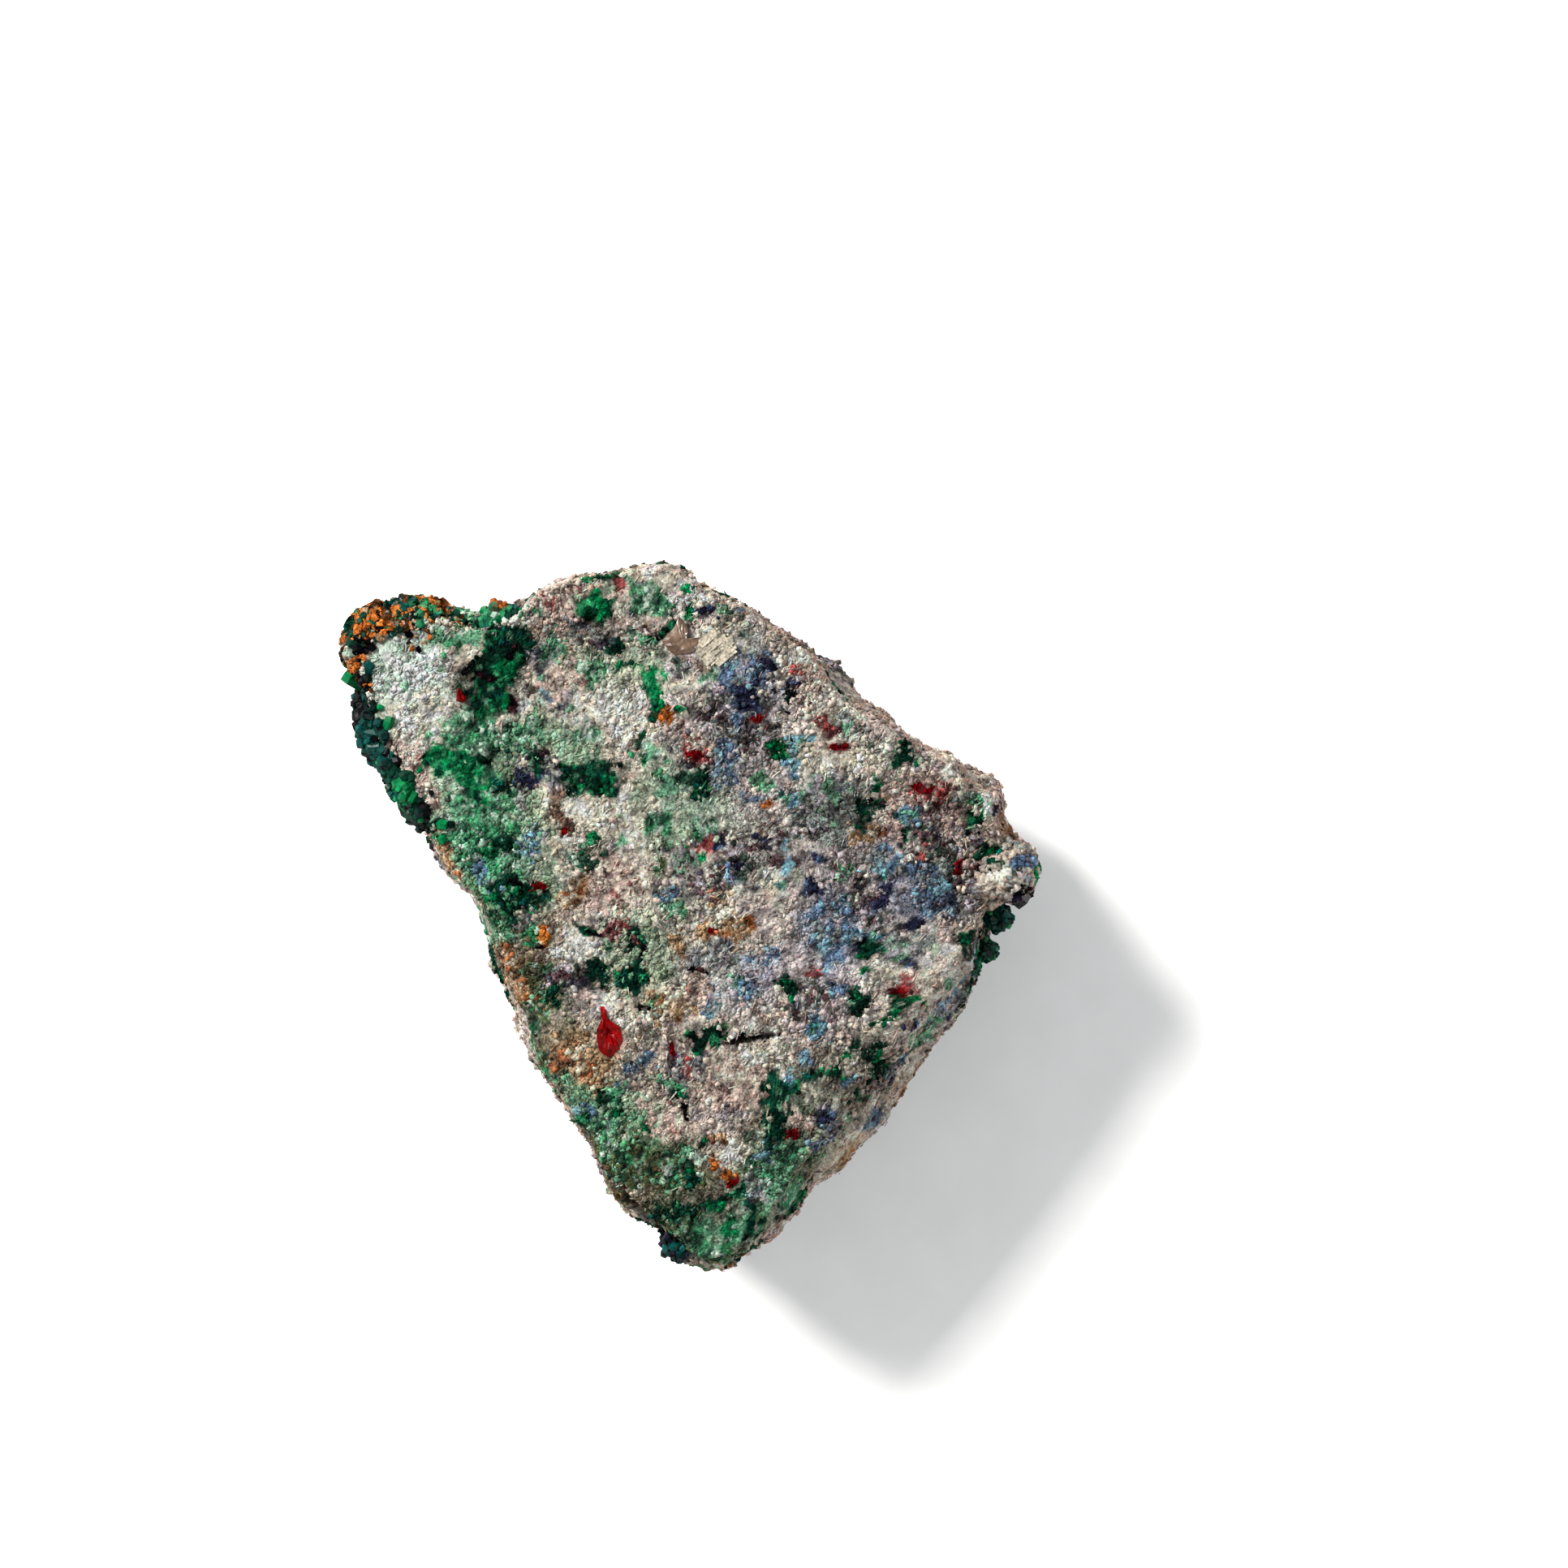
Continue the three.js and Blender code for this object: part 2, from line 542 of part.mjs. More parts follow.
const FINISHES = {
  matrix_rock: finish(0xb9aa9c, 0.75),
  dioptase_crust: finish(0x0c4a3c, 0.25),
  limonite_crust: finish(0xb8702c, 0.85),
  dioptase_rim: finish(0x1f6b50, 0.35),
  azurite_knob: finish(0x2b4a70, 0.4),
  dioptase_patch_upper: finish(0x1d4a3e, 0.4),
  dioptase_patch_lower: finish(0x23503f, 0.4),
  dioptase_tip: finish(0x14404c, 0.3),
  dioptase_prism: finish(0x1c8a55, 0.2),
  dioptase_plate: finish(0x0b6357, 0.15),
  black_crystal: finish(0x120a14, 0.1),
  cuprite_large: finish(0x7a0808, 0.25),
  cuprite_upper: finish(0x8a0a0a, 0.2),
  cuprite_lower: finish(0x8a0a0a, 0.2),
  smoky_cleavage: finish(0x6c5647, 0.15),
  calcite_cleavage: finish(0xc9c0b4, 0.3),
};

// ---- Assembly ----

const group = new THREE.Group();
group.position.copy(DRAWING_SHIFT);

const rockPlus = rockSolid(ROCK_GAP);
let rock = rockSolid(0);
for (const [name, spec] of Object.entries(SET_IN)) {
  rock = rock.subtract(setInCrystal(spec, GAP));
  group.add(meshOf(setInCrystal(spec, 0), name, FINISHES[name]));
}
group.add(meshOf(rock, "matrix_rock", FINISHES.matrix_rock));

const roomForSeated = Object.values(SEATED).map((spec) => seatedCrystal(spec, GAP));
for (const [name, spec] of Object.entries(SEATED)) {
  const seated = largestBody(seatedCrystal(spec, 0).subtract(rockPlus));
  group.add(meshOf(seated, name, FINISHES[name]));
}

Object.entries(CRUSTS).forEach(([name, spec], seed) => {
  let crust = crustSolid(spec, seed, rockPlus);
  for (const room of roomForSeated) crust = crust.subtract(room);
  group.add(meshOf(largestBody(crust), name, FINISHES[name]));
});

export default group;
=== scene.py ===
# %% [markdown]
# # A hand specimen of dioptase
#
# The specimen is a palm-sized slab of sugary pale rock, broken fairly flat above and below. Copper
# minerals stain its broken face green, blue and red. Dark green dioptase and rusty limonite crust
# its upper left flank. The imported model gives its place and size, and every visible surface is
# worked out here, in millimetres, and turned to metres as it goes into a mesh.

import bpy
import numpy as np
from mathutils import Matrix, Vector


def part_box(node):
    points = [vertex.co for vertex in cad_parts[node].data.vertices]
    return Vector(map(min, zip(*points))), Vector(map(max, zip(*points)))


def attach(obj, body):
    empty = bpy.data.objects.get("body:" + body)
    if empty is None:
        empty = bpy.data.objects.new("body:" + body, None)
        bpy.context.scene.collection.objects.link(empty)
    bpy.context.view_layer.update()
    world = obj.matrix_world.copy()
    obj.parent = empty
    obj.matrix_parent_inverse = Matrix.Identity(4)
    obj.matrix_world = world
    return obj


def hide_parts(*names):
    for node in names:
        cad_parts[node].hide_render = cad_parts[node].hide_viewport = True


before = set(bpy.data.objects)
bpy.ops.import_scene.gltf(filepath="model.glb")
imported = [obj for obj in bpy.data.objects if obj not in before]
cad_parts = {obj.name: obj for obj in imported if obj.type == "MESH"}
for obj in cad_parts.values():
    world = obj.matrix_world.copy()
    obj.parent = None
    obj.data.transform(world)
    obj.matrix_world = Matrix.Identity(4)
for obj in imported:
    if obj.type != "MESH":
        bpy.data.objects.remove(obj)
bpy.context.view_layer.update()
MM = 0.001

# %% [markdown]
# ## Camera, floor and light
#
# The stone lies on its flat underside and the camera looks straight down on its broken face, from
# far enough away that the flanks hardly show. A wide soft light from the upper left gives the
# grains their glints, and the bright sky and floor keep the shadows pale. Daylight colours are
# wanted as they are, so the plain view transform is chosen over the filmic one.

# %% Camera
FACE_HEIGHT = 22.0
FRAME_MIDDLE = (8.1, 11.57)  # the stone sits low and to the left of the frame's middle
FRAME_WIDTH = 135.24
CAMERA_DISTANCE = 600.0
SENSOR_WIDTH = 36.0

camera_data = bpy.data.cameras.new("camera")
camera_data.sensor_width = SENSOR_WIDTH
camera_data.lens = SENSOR_WIDTH * CAMERA_DISTANCE / FRAME_WIDTH
camera_data.clip_start = 0.01
camera = bpy.data.objects.new("camera", camera_data)
camera.location = (FRAME_MIDDLE[0] * MM, FRAME_MIDDLE[1] * MM, (FACE_HEIGHT + CAMERA_DISTANCE) * MM)
bpy.context.scene.collection.objects.link(camera)
bpy.context.scene.camera = camera
bpy.context.scene.view_settings.view_transform = "Standard"
print("lens in mm:", round(camera_data.lens, 1))

# %% Floor and light
FLOOR_HALF = 2.5  # metres
SKY_STRENGTH = 0.46


def soft_light(name, place, size, watts, colour):
    """A square lamp at a place in metres, turned so that its back points away from the stone."""
    data = bpy.data.lights.new(name, "AREA")
    data.size = size
    data.energy = watts
    data.color = colour
    lamp = bpy.data.objects.new(name, data)
    lamp.location = place
    lamp.rotation_mode = "QUATERNION"
    lamp.rotation_quaternion = Vector(place).to_track_quat("Z", "Y")
    bpy.context.scene.collection.objects.link(lamp)


soft_light("key", place=(-0.6, 0.5, 0.62), size=0.35, watts=27.3, colour=(1.0, 0.98, 0.95))
soft_light("fill", place=(0.7, -0.5, 0.6), size=1.0, watts=6.0, colour=(0.96, 0.98, 1.0))

world = bpy.data.worlds.new("sky")
bpy.context.scene.world = world
world.use_nodes = True
background = world.node_tree.nodes["Background"]
background.inputs["Color"].default_value = (1.0, 1.0, 1.0, 1.0)
background.inputs["Strength"].default_value = SKY_STRENGTH

floor_mesh = bpy.data.meshes.new("floor")
floor_corners = [(-FLOOR_HALF, -FLOOR_HALF, 0), (FLOOR_HALF, -FLOOR_HALF, 0)]
floor_corners += [(FLOOR_HALF, FLOOR_HALF, 0), (-FLOOR_HALF, FLOOR_HALF, 0)]
floor_mesh.from_pydata(floor_corners, [], [(0, 1, 2, 3)])
floor = bpy.data.objects.new("floor", floor_mesh)
bpy.context.scene.collection.objects.link(floor)

# %% [markdown]
# ## Putting arrays into meshes
#
# Each shape is worked out as an array of points and arrays of the corners of its faces. A big mesh
# is slow to build face by face, so foreach_set copies whole arrays at once. Colours that change
# over a piece go in as an attribute named stain, which its material reads.

# %% Mesh from arrays
DRAWING_SHIFT = np.array([-0.16, -0.12, 0.0])  # brings the middle of the whole over the origin


def make_piece(name, points, faces, material, nodes=(), stain=None, rounded=False):
    """One piece from points in drawing millimetres and a list of arrays of faces' corners. It stands for
    the nodes it replaces, and is shaded as a rounded surface or as flat faces."""
    corners = np.concatenate([f.ravel() for f in faces]).astype(np.int32)
    counts = np.concatenate([np.full(len(f), f.shape[1]) for f in faces])
    starts = np.concatenate([[0], np.cumsum(counts)[:-1]]).astype(np.int32)
    mesh = bpy.data.meshes.new(name)
    mesh.vertices.add(len(points))
    mesh.vertices.foreach_set("co", ((points + DRAWING_SHIFT) * MM).astype(np.float32).ravel())
    mesh.loops.add(len(corners))
    mesh.loops.foreach_set("vertex_index", corners)
    mesh.polygons.add(len(counts))
    mesh.polygons.foreach_set("loop_start", starts)
    mesh.polygons.foreach_set("use_smooth", np.full(len(counts), rounded))
    mesh.update(calc_edges=True)
    mesh.validate()
    if stain is not None:
        colour = np.ones((len(points), 4), np.float32)
        colour[:, :3] = stain
        mesh.attributes.new("stain", "FLOAT_COLOR", "POINT").data.foreach_set("color", colour.ravel())
    mesh.materials.append(material)
    piece = bpy.data.objects.new(name, mesh)
    bpy.context.scene.collection.objects.link(piece)
    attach(piece, "root")
    if nodes:
        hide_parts(*nodes)
    print(name, "triangles:", int((counts - 2).sum()))

# %% [markdown]
# ## Noise without a loop
#
# Rock is uneven at every scale. Two kinds of noise do for all of it: a smooth one, which mixes
# random numbers kept at the corners of a lattice, and a cellular one, which finds the nearest of a
# lattice of jittered seeds and so makes grains with seams between them. Both work on whole arrays.

# %% Smooth noise
def smooth(x):
    """0 below 0, 1 above 1, and an S-shaped rise between."""
    t = np.clip(x, 0, 1)
    return t * t * (3 - 2 * t)


CELL_MIX = np.array([127.1, 311.7, 74.7])  # makes one number of a cell's three, with few repeats
SEED_STEP = 53.3
SINE_STRETCH = 43758.5453
LAYER_SEEDS = 7


def hashed(cell, seed):
    """A number in 0..1 for each whole-number cell: the last digits of a large sine."""
    return np.abs(np.sin(cell @ CELL_MIX + SEED_STEP * seed) * SINE_STRETCH) % 1


def noise(points, size, seed=0):
    """Smooth noise in 0..1: the mean of the eight lattice corners' numbers, weighted by nearness."""
    place = points / size
    cell = np.floor(place)
    t = smooth(place - cell)
    total = np.zeros(len(points))
    for corner in np.ndindex(2, 2, 2):
        weight = np.prod(np.where(np.array(corner) == 1, t, 1 - t), axis=1)
        total += weight * hashed(cell + corner, seed)
    return total


def layered_noise(points, size, seed=0, layers=3):
    """Smooth noise with each layer half the size and half the height of the last, in 0..1."""
    heights = 0.5 ** np.arange(layers)
    parts = [h * noise(points, size * h, seed + LAYER_SEEDS * i) for i, h in enumerate(heights)]
    return sum(parts) / heights.sum()


trial_line = np.linspace(0, 50, 400)[:, None] * np.array([1.0, 0.6, 0.3])
tried = layered_noise(trial_line, 3.0)
print("noise along a line runs from", tried.min().round(2), "to", tried.max().round(2))

# %% Cellular noise
JITTER_SEEDS = (11, 12, 13)
NUMBER_SEED = 14
FAR = 9.0  # further away than any seed of the cells around


def grain_cells(points, size, seed=0):
    """For each point: how far it is from a seam between grains, 0..1, and its grain's own number."""
    place = points / size
    cell = np.floor(place)
    first = np.full(len(points), FAR)
    second = np.full(len(points), FAR)
    number = np.zeros(len(points))
    for corner in np.ndindex(3, 3, 3):
        near = cell + np.array(corner) - 1
        jitter = np.stack([hashed(near, seed + k) for k in JITTER_SEEDS], axis=1)
        distance = np.linalg.norm(near + jitter - place, axis=1)
        closer = distance < first
        second = np.where(closer, first, np.minimum(second, distance))
        number = np.where(closer, hashed(near, seed + NUMBER_SEED), number)
        first = np.where(closer, distance, first)
    return np.clip(second - first, 0, 1), number


print("grains met along that line:", len(np.unique(grain_cells(trial_line, 3.0)[1])))

# %% [markdown]
# ## The rock's surface
#
# The rock is one broken slab. A point of its surface is given by two numbers: its share of the way
# round the edge, clockwise from the upper left corner, and a row that runs from the middle of the
# face (0) over the face's rim (1) down the flank to the foot (2) and in under it (3). The packed
# solid is made by the same rule, so the fine surface lies on it everywhere.

# %% The edge and how the flank falls away
MIDDLE = np.array([0.0, 2.0, 11.0])
ROCK_EDGE = np.array([
    (-28.6, 23.4), (-27.5, 25.0), (-25.3, 25.5), (-23.2, 26.3), (-21.2, 26.2), (-19.0, 25.6),
    (-17.4, 25.6), (-15.8, 26.4), (-14.6, 27.2), (-13.0, 28.3), (-11.1, 29.4), (-7.9, 30.1),
    (-4.9, 30.7), (-1.1, 30.5), (1.0, 28.6), (4.7, 27.0), (7.9, 25.0), (10.8, 22.8),
    (11.8, 20.9), (13.9, 18.8), (17.9, 16.8), (20.1, 15.1), (22.9, 13.9), (24.7, 11.9),
    (27.0, 10.4), (27.2, 8.5), (28.4, 6.8), (28.8, 5.0), (28.5, 2.9), (27.3, 1.3),
    (26.4, -0.5), (25.8, -2.1), (25.5, -4.0), (24.4, -6.9), (22.0, -9.9), (20.1, -12.8),
    (17.9, -16.5), (16.6, -18.2), (13.7, -21.3), (11.4, -23.0), (8.9, -26.2), (4.5, -29.9),
    (2.4, -30.6), (0.5, -30.2), (-1.3, -28.2), (-3.1, -27.0), (-6.2, -25.1), (-7.6, -22.8),
    (-8.7, -19.6), (-10.5, -17.0), (-13.0, -12.8), (-14.6, -8.6), (-16.5, -5.0), (-17.2, -1.2),
    (-18.8, 2.2), (-20.7, 3.6), (-21.9, 5.8), (-23.0, 8.6), (-23.8, 10.3), (-24.6, 12.2),
    (-26.0, 14.6), (-27.0, 16.0), (-27.6, 18.1), (-28.1, 20.0), (-28.6, 21.6),
])

# Share of the way round, how far the rim lies inside the widest line, the height of the widest
# line, and how far the foot lies inside it.
SIDES = np.array([
    (0.0, 0.8, 14.5, 1.2), (0.03, 0.8, 15.5, 1.0), (0.07, 1.0, 16.0, 0.6), (0.1, 0.7, 18.0, 1.5),
    (0.16, 0.8, 17.0, 3.0), (0.25, 0.6, 18.0, 1.0), (0.33, 1.0, 15.0, 2.2), (0.39, 1.8, 12.0, 3.0),
    (0.43, 2.2, 11.5, 1.6), (0.5, 3.2, 12.0, 1.0), (0.57, 3.2, 10.0, 1.4), (0.645, 1.6, 13.0, 3.2),
    (0.7, 1.6, 12.5, 1.8), (0.78, 0.9, 16.0, 1.0), (0.84, 1.6, 14.0, 0.4), (0.89, 1.4, 13.0, 1.2),
    (0.94, 0.8, 12.0, 1.0), (1.0, 0.8, 14.5, 1.2),
])

# Flat breaks across the flank: azimuth and tilt in degrees, and the height where each starts.
BREAKS = [
    (56, -14, 17), (76, -42, 11), (36, -40, 10), (4, -46, 9), (-34, -26, 11), (-52, -46, 8),
    (-38, 32, 15), (-84, -38, 12), (-132, -36, 11), (-150, -10, 16), (-170, -44, 8),
    (156, -38, 9), (112, -24, 13), (98, -52, 7),
]

# The broken face is the lowest of these planes: height over the origin and slopes along x and y.
FACE_PLANES = [
    (22.4, 0.0, 0.01), (24.0, 0.0, 0.13), (24.4, -0.15, 0.0), (24.6, 0.11, 0.0), (25.3, -0.1, -0.1),
]
PLANE_BLEND = 0.5  # mm over which two planes run into each other
FOOT_HEIGHT = 2.4
FLAT_FROM = 0.42  # rows past the foot where the flat underside starts
BELT_AT = 0.45  # rows past the rim where the widest line lies
EVEN_OUT = 0.03  # share of the edge that one point of the even edge is the mean of, to each side
EDGE_STEPS = 720
print("corners of the edge:", len(ROCK_EDGE), "places where the flank is given:", len(SIDES))

# %% A closed curve through the corners
CURVE_STEPS = 40


def curve_through(corners):
    """A closed curve through the corners, in short steps. Between two corners it is the cubic whose
    slopes come from both neighbours, weighted by the root of each gap's length."""
    before, start = np.roll(corners, 1, axis=0), corners
    end, after = np.roll(corners, -1, axis=0), np.roll(corners, -2, axis=0)
    gaps = ((before, start), (start, end), (end, after))
    gap = [np.linalg.norm(b - a, axis=1)[:, None] ** 0.5 for a, b in gaps]
    leave = (start - before) / gap[0] - (end - before) / (gap[0] + gap[1]) + (end - start) / gap[1]
    arrive = (end - start) / gap[1] - (after - start) / (gap[1] + gap[2]) + (after - end) / gap[2]
    leave, arrive = leave * gap[1], arrive * gap[1]
    t = (np.arange(CURVE_STEPS) / CURVE_STEPS)[None, :, None]
    a, b, m, n = (v[:, None, :] for v in (start, end, leave, arrive))
    curve = a + m * t + (3 * (b - a) - 2 * m - n) * t**2 + (2 * (a - b) + m + n) * t**3
    return curve.reshape(-1, 2)


def walk_round(corners):
    """A loop's corners with the first again at the end, and how far along the loop each one lies."""
    closed = np.vstack([corners, corners[:1]])
    steps = np.linalg.norm(np.diff(closed, axis=0), axis=1)
    return closed, np.concatenate([[0], np.cumsum(steps)])


def equal_steps(closed, along, count):
    """Points equally far apart on a loop that walk_round gave."""
    stops = np.arange(count) / count * along[-1]
    return np.stack([np.interp(stops, along, closed[:, k]) for k in (0, 1)], axis=1)


edge_curve, along_edge = walk_round(curve_through(ROCK_EDGE))
EDGE_LENGTH = along_edge[-1]
rough_edge = equal_steps(edge_curve, along_edge, EDGE_STEPS)
half_window = round(EVEN_OUT * EDGE_STEPS)
shifts = range(-half_window, half_window + 1)
even_edge = np.mean([np.roll(rough_edge, k, axis=0) for k in shifts], axis=0)
print("length round the edge in mm:", round(EDGE_LENGTH, 1))

# %% Face, facets and breaks
WAVES = 6
LONGEST_WAVE = 19.0
WAVE_RATIO = 0.72
WAVE_HEIGHT = 0.6
PHASE_STEP = 0.37
FACE_RELIEF = 0.45
BELT_RELIEF = 0.12
FOOT_RELIEF = 2.0
GOLDEN_ANGLE = np.pi * (3 - 5**0.5)


def face_height(plan):
    """The soft minimum of the face's planes at a place in plan."""
    heights = [h + sx * plan[..., 0] + sy * plan[..., 1] for h, sx, sy in FACE_PLANES]
    return -PLANE_BLEND * np.log(sum(np.exp(-h / PLANE_BLEND) for h in heights))


def facets(point):
    """Triangle waves of falling length in directions spread evenly over the sphere, summed."""
    total = 0
    for i in range(WAVES):
        length = LONGEST_WAVE * WAVE_RATIO**i
        up = 1 - 2 * (i + 0.5) / WAVES
        flat = np.sqrt(1 - up * up)
        turn = i * GOLDEN_ANGLE
        phase = point @ np.array([flat * np.cos(turn), flat * np.sin(turn), up]) / length + i * PHASE_STEP
        total = total + (np.abs(phase % 1 - 0.5) * 4 - 1) * WAVE_HEIGHT * length / LONGEST_WAVE
    return total


def cut_by_breaks(point):
    """Each point drawn in toward the middle until no break lies behind it."""
    ray = point - MIDDLE
    keep = np.ones(point.shape[:-1])
    for azimuth, tilt, start in BREAKS:
        turn, lean = np.radians(azimuth), np.radians(tilt)
        flat = np.array([np.cos(turn), np.sin(turn)])
        reach = ((rough_edge - MIDDLE[:2]) @ flat).max()
        distance = reach * np.cos(lean) + (start - MIDDLE[2]) * np.sin(lean)
        along = ray @ np.array([*(flat * np.cos(lean)), np.sin(lean)])
        keep = np.where(along > distance, np.minimum(keep, distance / np.maximum(along, 1e-9)), keep)
    return MIDDLE + ray * keep[..., None]


print("face over the middle in mm:", face_height(MIDDLE[:2]).round(2), "breaks:", len(BREAKS))

# %% A point of the edge
def edge_at(share, roughness):
    """A point of the edge, between evened out (0) and rough (1)."""
    place = (share % 1) * EDGE_STEPS
    i = np.floor(place).astype(int) % EDGE_STEPS
    mix = (place - np.floor(place))[..., None]
    rough = rough_edge[i] * (1 - mix) + rough_edge[(i + 1) % EDGE_STEPS] * mix
    even = even_edge[i] * (1 - mix) + even_edge[(i + 1) % EDGE_STEPS] * mix
    return even + (rough - even) * roughness[..., None]


print("start of the edge in mm, evened out and rough:", edge_at(np.zeros(2), np.arange(2)).round(1).tolist())

# %% A point of the surface
ROUGH_FROM = 0.5  # from this row to the rim the outline turns from even to rough
EVEN_FOOT = 0.8  # how far it is evened out again toward the foot
EVEN_FALL = 1.5  # how fast
FOOT_CURVE = 1.3  # over one, so the flank draws in more toward the foot
FOOT_LIFT = -0.5  # how much the foot faces up, where the face is 1, the belt 0 and the underside -1


def rock_point(share, row):
    """The surface at each share and row: a distance out from the middle and a height that follow the
    face, a quarter round over the rim, a straight fall to the foot or the underside, and then the
    breaks and the facets."""
    share, row = np.broadcast_arrays(np.asarray(share, float), np.asarray(row, float))
    shoulder, belt, foot = (np.interp(share % 1, SIDES[:, 0], SIDES[:, k]) for k in (1, 2, 3))
    down = np.clip((row - 1 - BELT_AT) / (1 - BELT_AT), 0, 1)
    rough_face = smooth((row - ROUGH_FROM) / (1 - ROUGH_FROM))
    rough_flank = 1 - EVEN_FOOT * smooth(down * EVEN_FALL)
    out = edge_at(share, np.where(row < 1, rough_face, rough_flank)) - MIDDLE[:2]
    reach = np.linalg.norm(out, axis=-1)
    out = out / reach[..., None]
    zones = [row <= 1, row <= 1 + BELT_AT, row <= 2]
    angle = np.pi / 2 * np.clip(1 - (row - 1) / BELT_AT, 0, 1)
    flat = smooth((row - 2) / FLAT_FROM)
    distance = np.select(
        zones,
        [(reach - shoulder) * row, reach - shoulder * (1 - np.cos(angle)), reach - foot * down**FOOT_CURVE],
        (reach - foot) * (3 - row),
    )
    plan = MIDDLE[:2] + out * distance[..., None]
    rise = face_height(MIDDLE[:2] + out * (reach - shoulder)[..., None]) - belt
    height = np.select(
        zones,
        [face_height(plan), belt + rise * np.sin(angle), belt + (FOOT_HEIGHT - belt) * down],
        FOOT_HEIGHT * (1 - flat),
    )
    lift = np.select(zones, [1.0, np.sin(angle), FOOT_LIFT * down], FOOT_LIFT - (1 + FOOT_LIFT) * flat)
    relief = np.select(
        zones,
        [
            FACE_RELIEF,
            BELT_RELIEF + (FACE_RELIEF - BELT_RELIEF) * lift,
            BELT_RELIEF + (FOOT_RELIEF - BELT_RELIEF) * smooth(down * 2),
        ],
        FOOT_RELIEF * (1 - flat),
    )
    point = cut_by_breaks(np.concatenate([plan, height[..., None]], axis=-1))
    push = relief * facets(point)
    point[..., :2] += out * (push * np.sqrt(np.maximum(1 - lift * lift, 0)))[..., None]
    point[..., 2] = np.maximum(point[..., 2] + push * lift, 0)
    return point


face_middle = rock_point(np.zeros(1), np.zeros(1))
print("middle of the face in mm:", face_middle.round(1))

# %% The way the surface faces
SHARE_STEP = 0.004  # steps for measuring slopes
ROW_STEP = 0.04


def rock_normal(share, row):
    """The way the surface faces: along the edge crossed with down the flank."""
    along = rock_point(share + SHARE_STEP, row) - rock_point(share - SHARE_STEP, row)
    down = rock_point(share, row + ROW_STEP) - rock_point(share, row - ROW_STEP)
    normal = np.cross(along, down)
    return normal / np.linalg.norm(normal, axis=-1, keepdims=True)


print("halfway to the rim it faces along", rock_normal(np.zeros(1), np.array([0.5])).round(2))

# %% [markdown]
# ## The fine net over the rock
#
# Rings that shrink to a point would crowd the middle of the face with slivers, so the face and the
# underside are square nets whose borders are bent onto the edge. Rows of cells down the flank join
# the two nets corner to corner, and the rock is one closed skin.

# %% Square nets
def net_places(cells):
    """Share and ring of each corner of a square net with its corners at -1 and 1."""
    b, a = np.meshgrid(np.linspace(-1, 1, cells + 1), np.linspace(-1, 1, cells + 1), indexing="ij")
    ring = np.maximum(np.abs(a), np.abs(b))
    x, y = a / np.maximum(ring, 1e-9), b / np.maximum(ring, 1e-9)
    sides = [np.isclose(y, 1), np.isclose(x, 1), np.isclose(y, -1)]
    share = np.select(sides, [(x + 1) / 8, (3 - y) / 8, (5 - x) / 8], (7 + y) / 8)
    return share.ravel() % 1, ring.ravel()


def net_quads(cells):
    """The corners of each cell of that net, seen anticlockwise."""
    j, i = np.meshgrid(np.arange(cells), np.arange(cells), indexing="ij")
    p = (j * (cells + 1) + i).ravel()
    return np.stack([p, p + 1, p + cells + 2, p + cells + 1], axis=1)


def net_border(cells):
    """The net's border corners in order round the edge, from the upper left corner clockwise."""
    k, side = np.arange(cells), cells + 1
    return np.concatenate([cells * side + k, (cells - k) * side + cells, cells - k, k * side])


def between_rings(rings):
    """The faces between each ring of corners and the next, four corners each."""
    beside = np.roll(rings, -1, axis=1)
    return np.stack([rings[:-1], beside[:-1], beside[1:], rings[1:]], axis=2).reshape(-1, 4)


print("a net four cells wide has", len(net_places(4)[0]), "corners,", len(net_border(4)), "on its border")

# %% Net over the whole rock
NET_CELLS = 170
FLANK_ROWS = 54
net_share, net_ring = net_places(NET_CELLS)
columns = 4 * NET_CELLS
flank_row = 1 + np.arange(1, FLANK_ROWS) / FLANK_ROWS
flank_share = np.arange(columns) / columns
rock_share = np.concatenate([net_share, net_share, np.tile(flank_share, FLANK_ROWS - 1)])
rock_row = np.concatenate([net_ring, 3 - net_ring, np.repeat(flank_row, columns)])
rock_base = rock_point(rock_share, rock_row)

net_size = len(net_share)
levels = np.arange(FLANK_ROWS - 1)[:, None] * columns + np.arange(columns) + 2 * net_size
levels = np.vstack([net_border(NET_CELLS), levels, net_border(NET_CELLS) + net_size])
face_quads = net_quads(NET_CELLS)
rock_quads = np.concatenate([face_quads, face_quads[:, ::-1] + net_size, between_rings(levels)])
low, high = (np.array(corner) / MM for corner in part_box("matrix_rock"))
print("off the packed rock by, mm:", np.abs(rock_base.min(0) + DRAWING_SHIFT - low).round(2),
      np.abs(rock_base.max(0) + DRAWING_SHIFT - high).round(2))

# %% Normals of a mesh
def surface_normals(points, quads):
    """Each point's normal: the sum of its faces' crossed diagonals, made one long."""
    a, b, c, d = (points[quads[:, k]] for k in range(4))
    crossed = np.cross(c - a, d - b)
    total = np.zeros_like(points)
    for k in range(4):
        np.add.at(total, quads[:, k], crossed)
    return total / np.maximum(np.linalg.norm(total, axis=1, keepdims=True), 1e-12)


base_normals = surface_normals(rock_base, rock_quads)
print("share of the net that faces up:", (base_normals[:, 2] > 0.5).mean().round(2))

# %% [markdown]
# ## Broken grain relief
#
# Fresh breaks in granular rock are knobbly: each grain stands a little prouder or lower than its
# neighbours, with a seam between. The points move along their normals by a plateau for each cell
# and a little noise. Four short cracks cut the face, two low down and two near its upper edge.

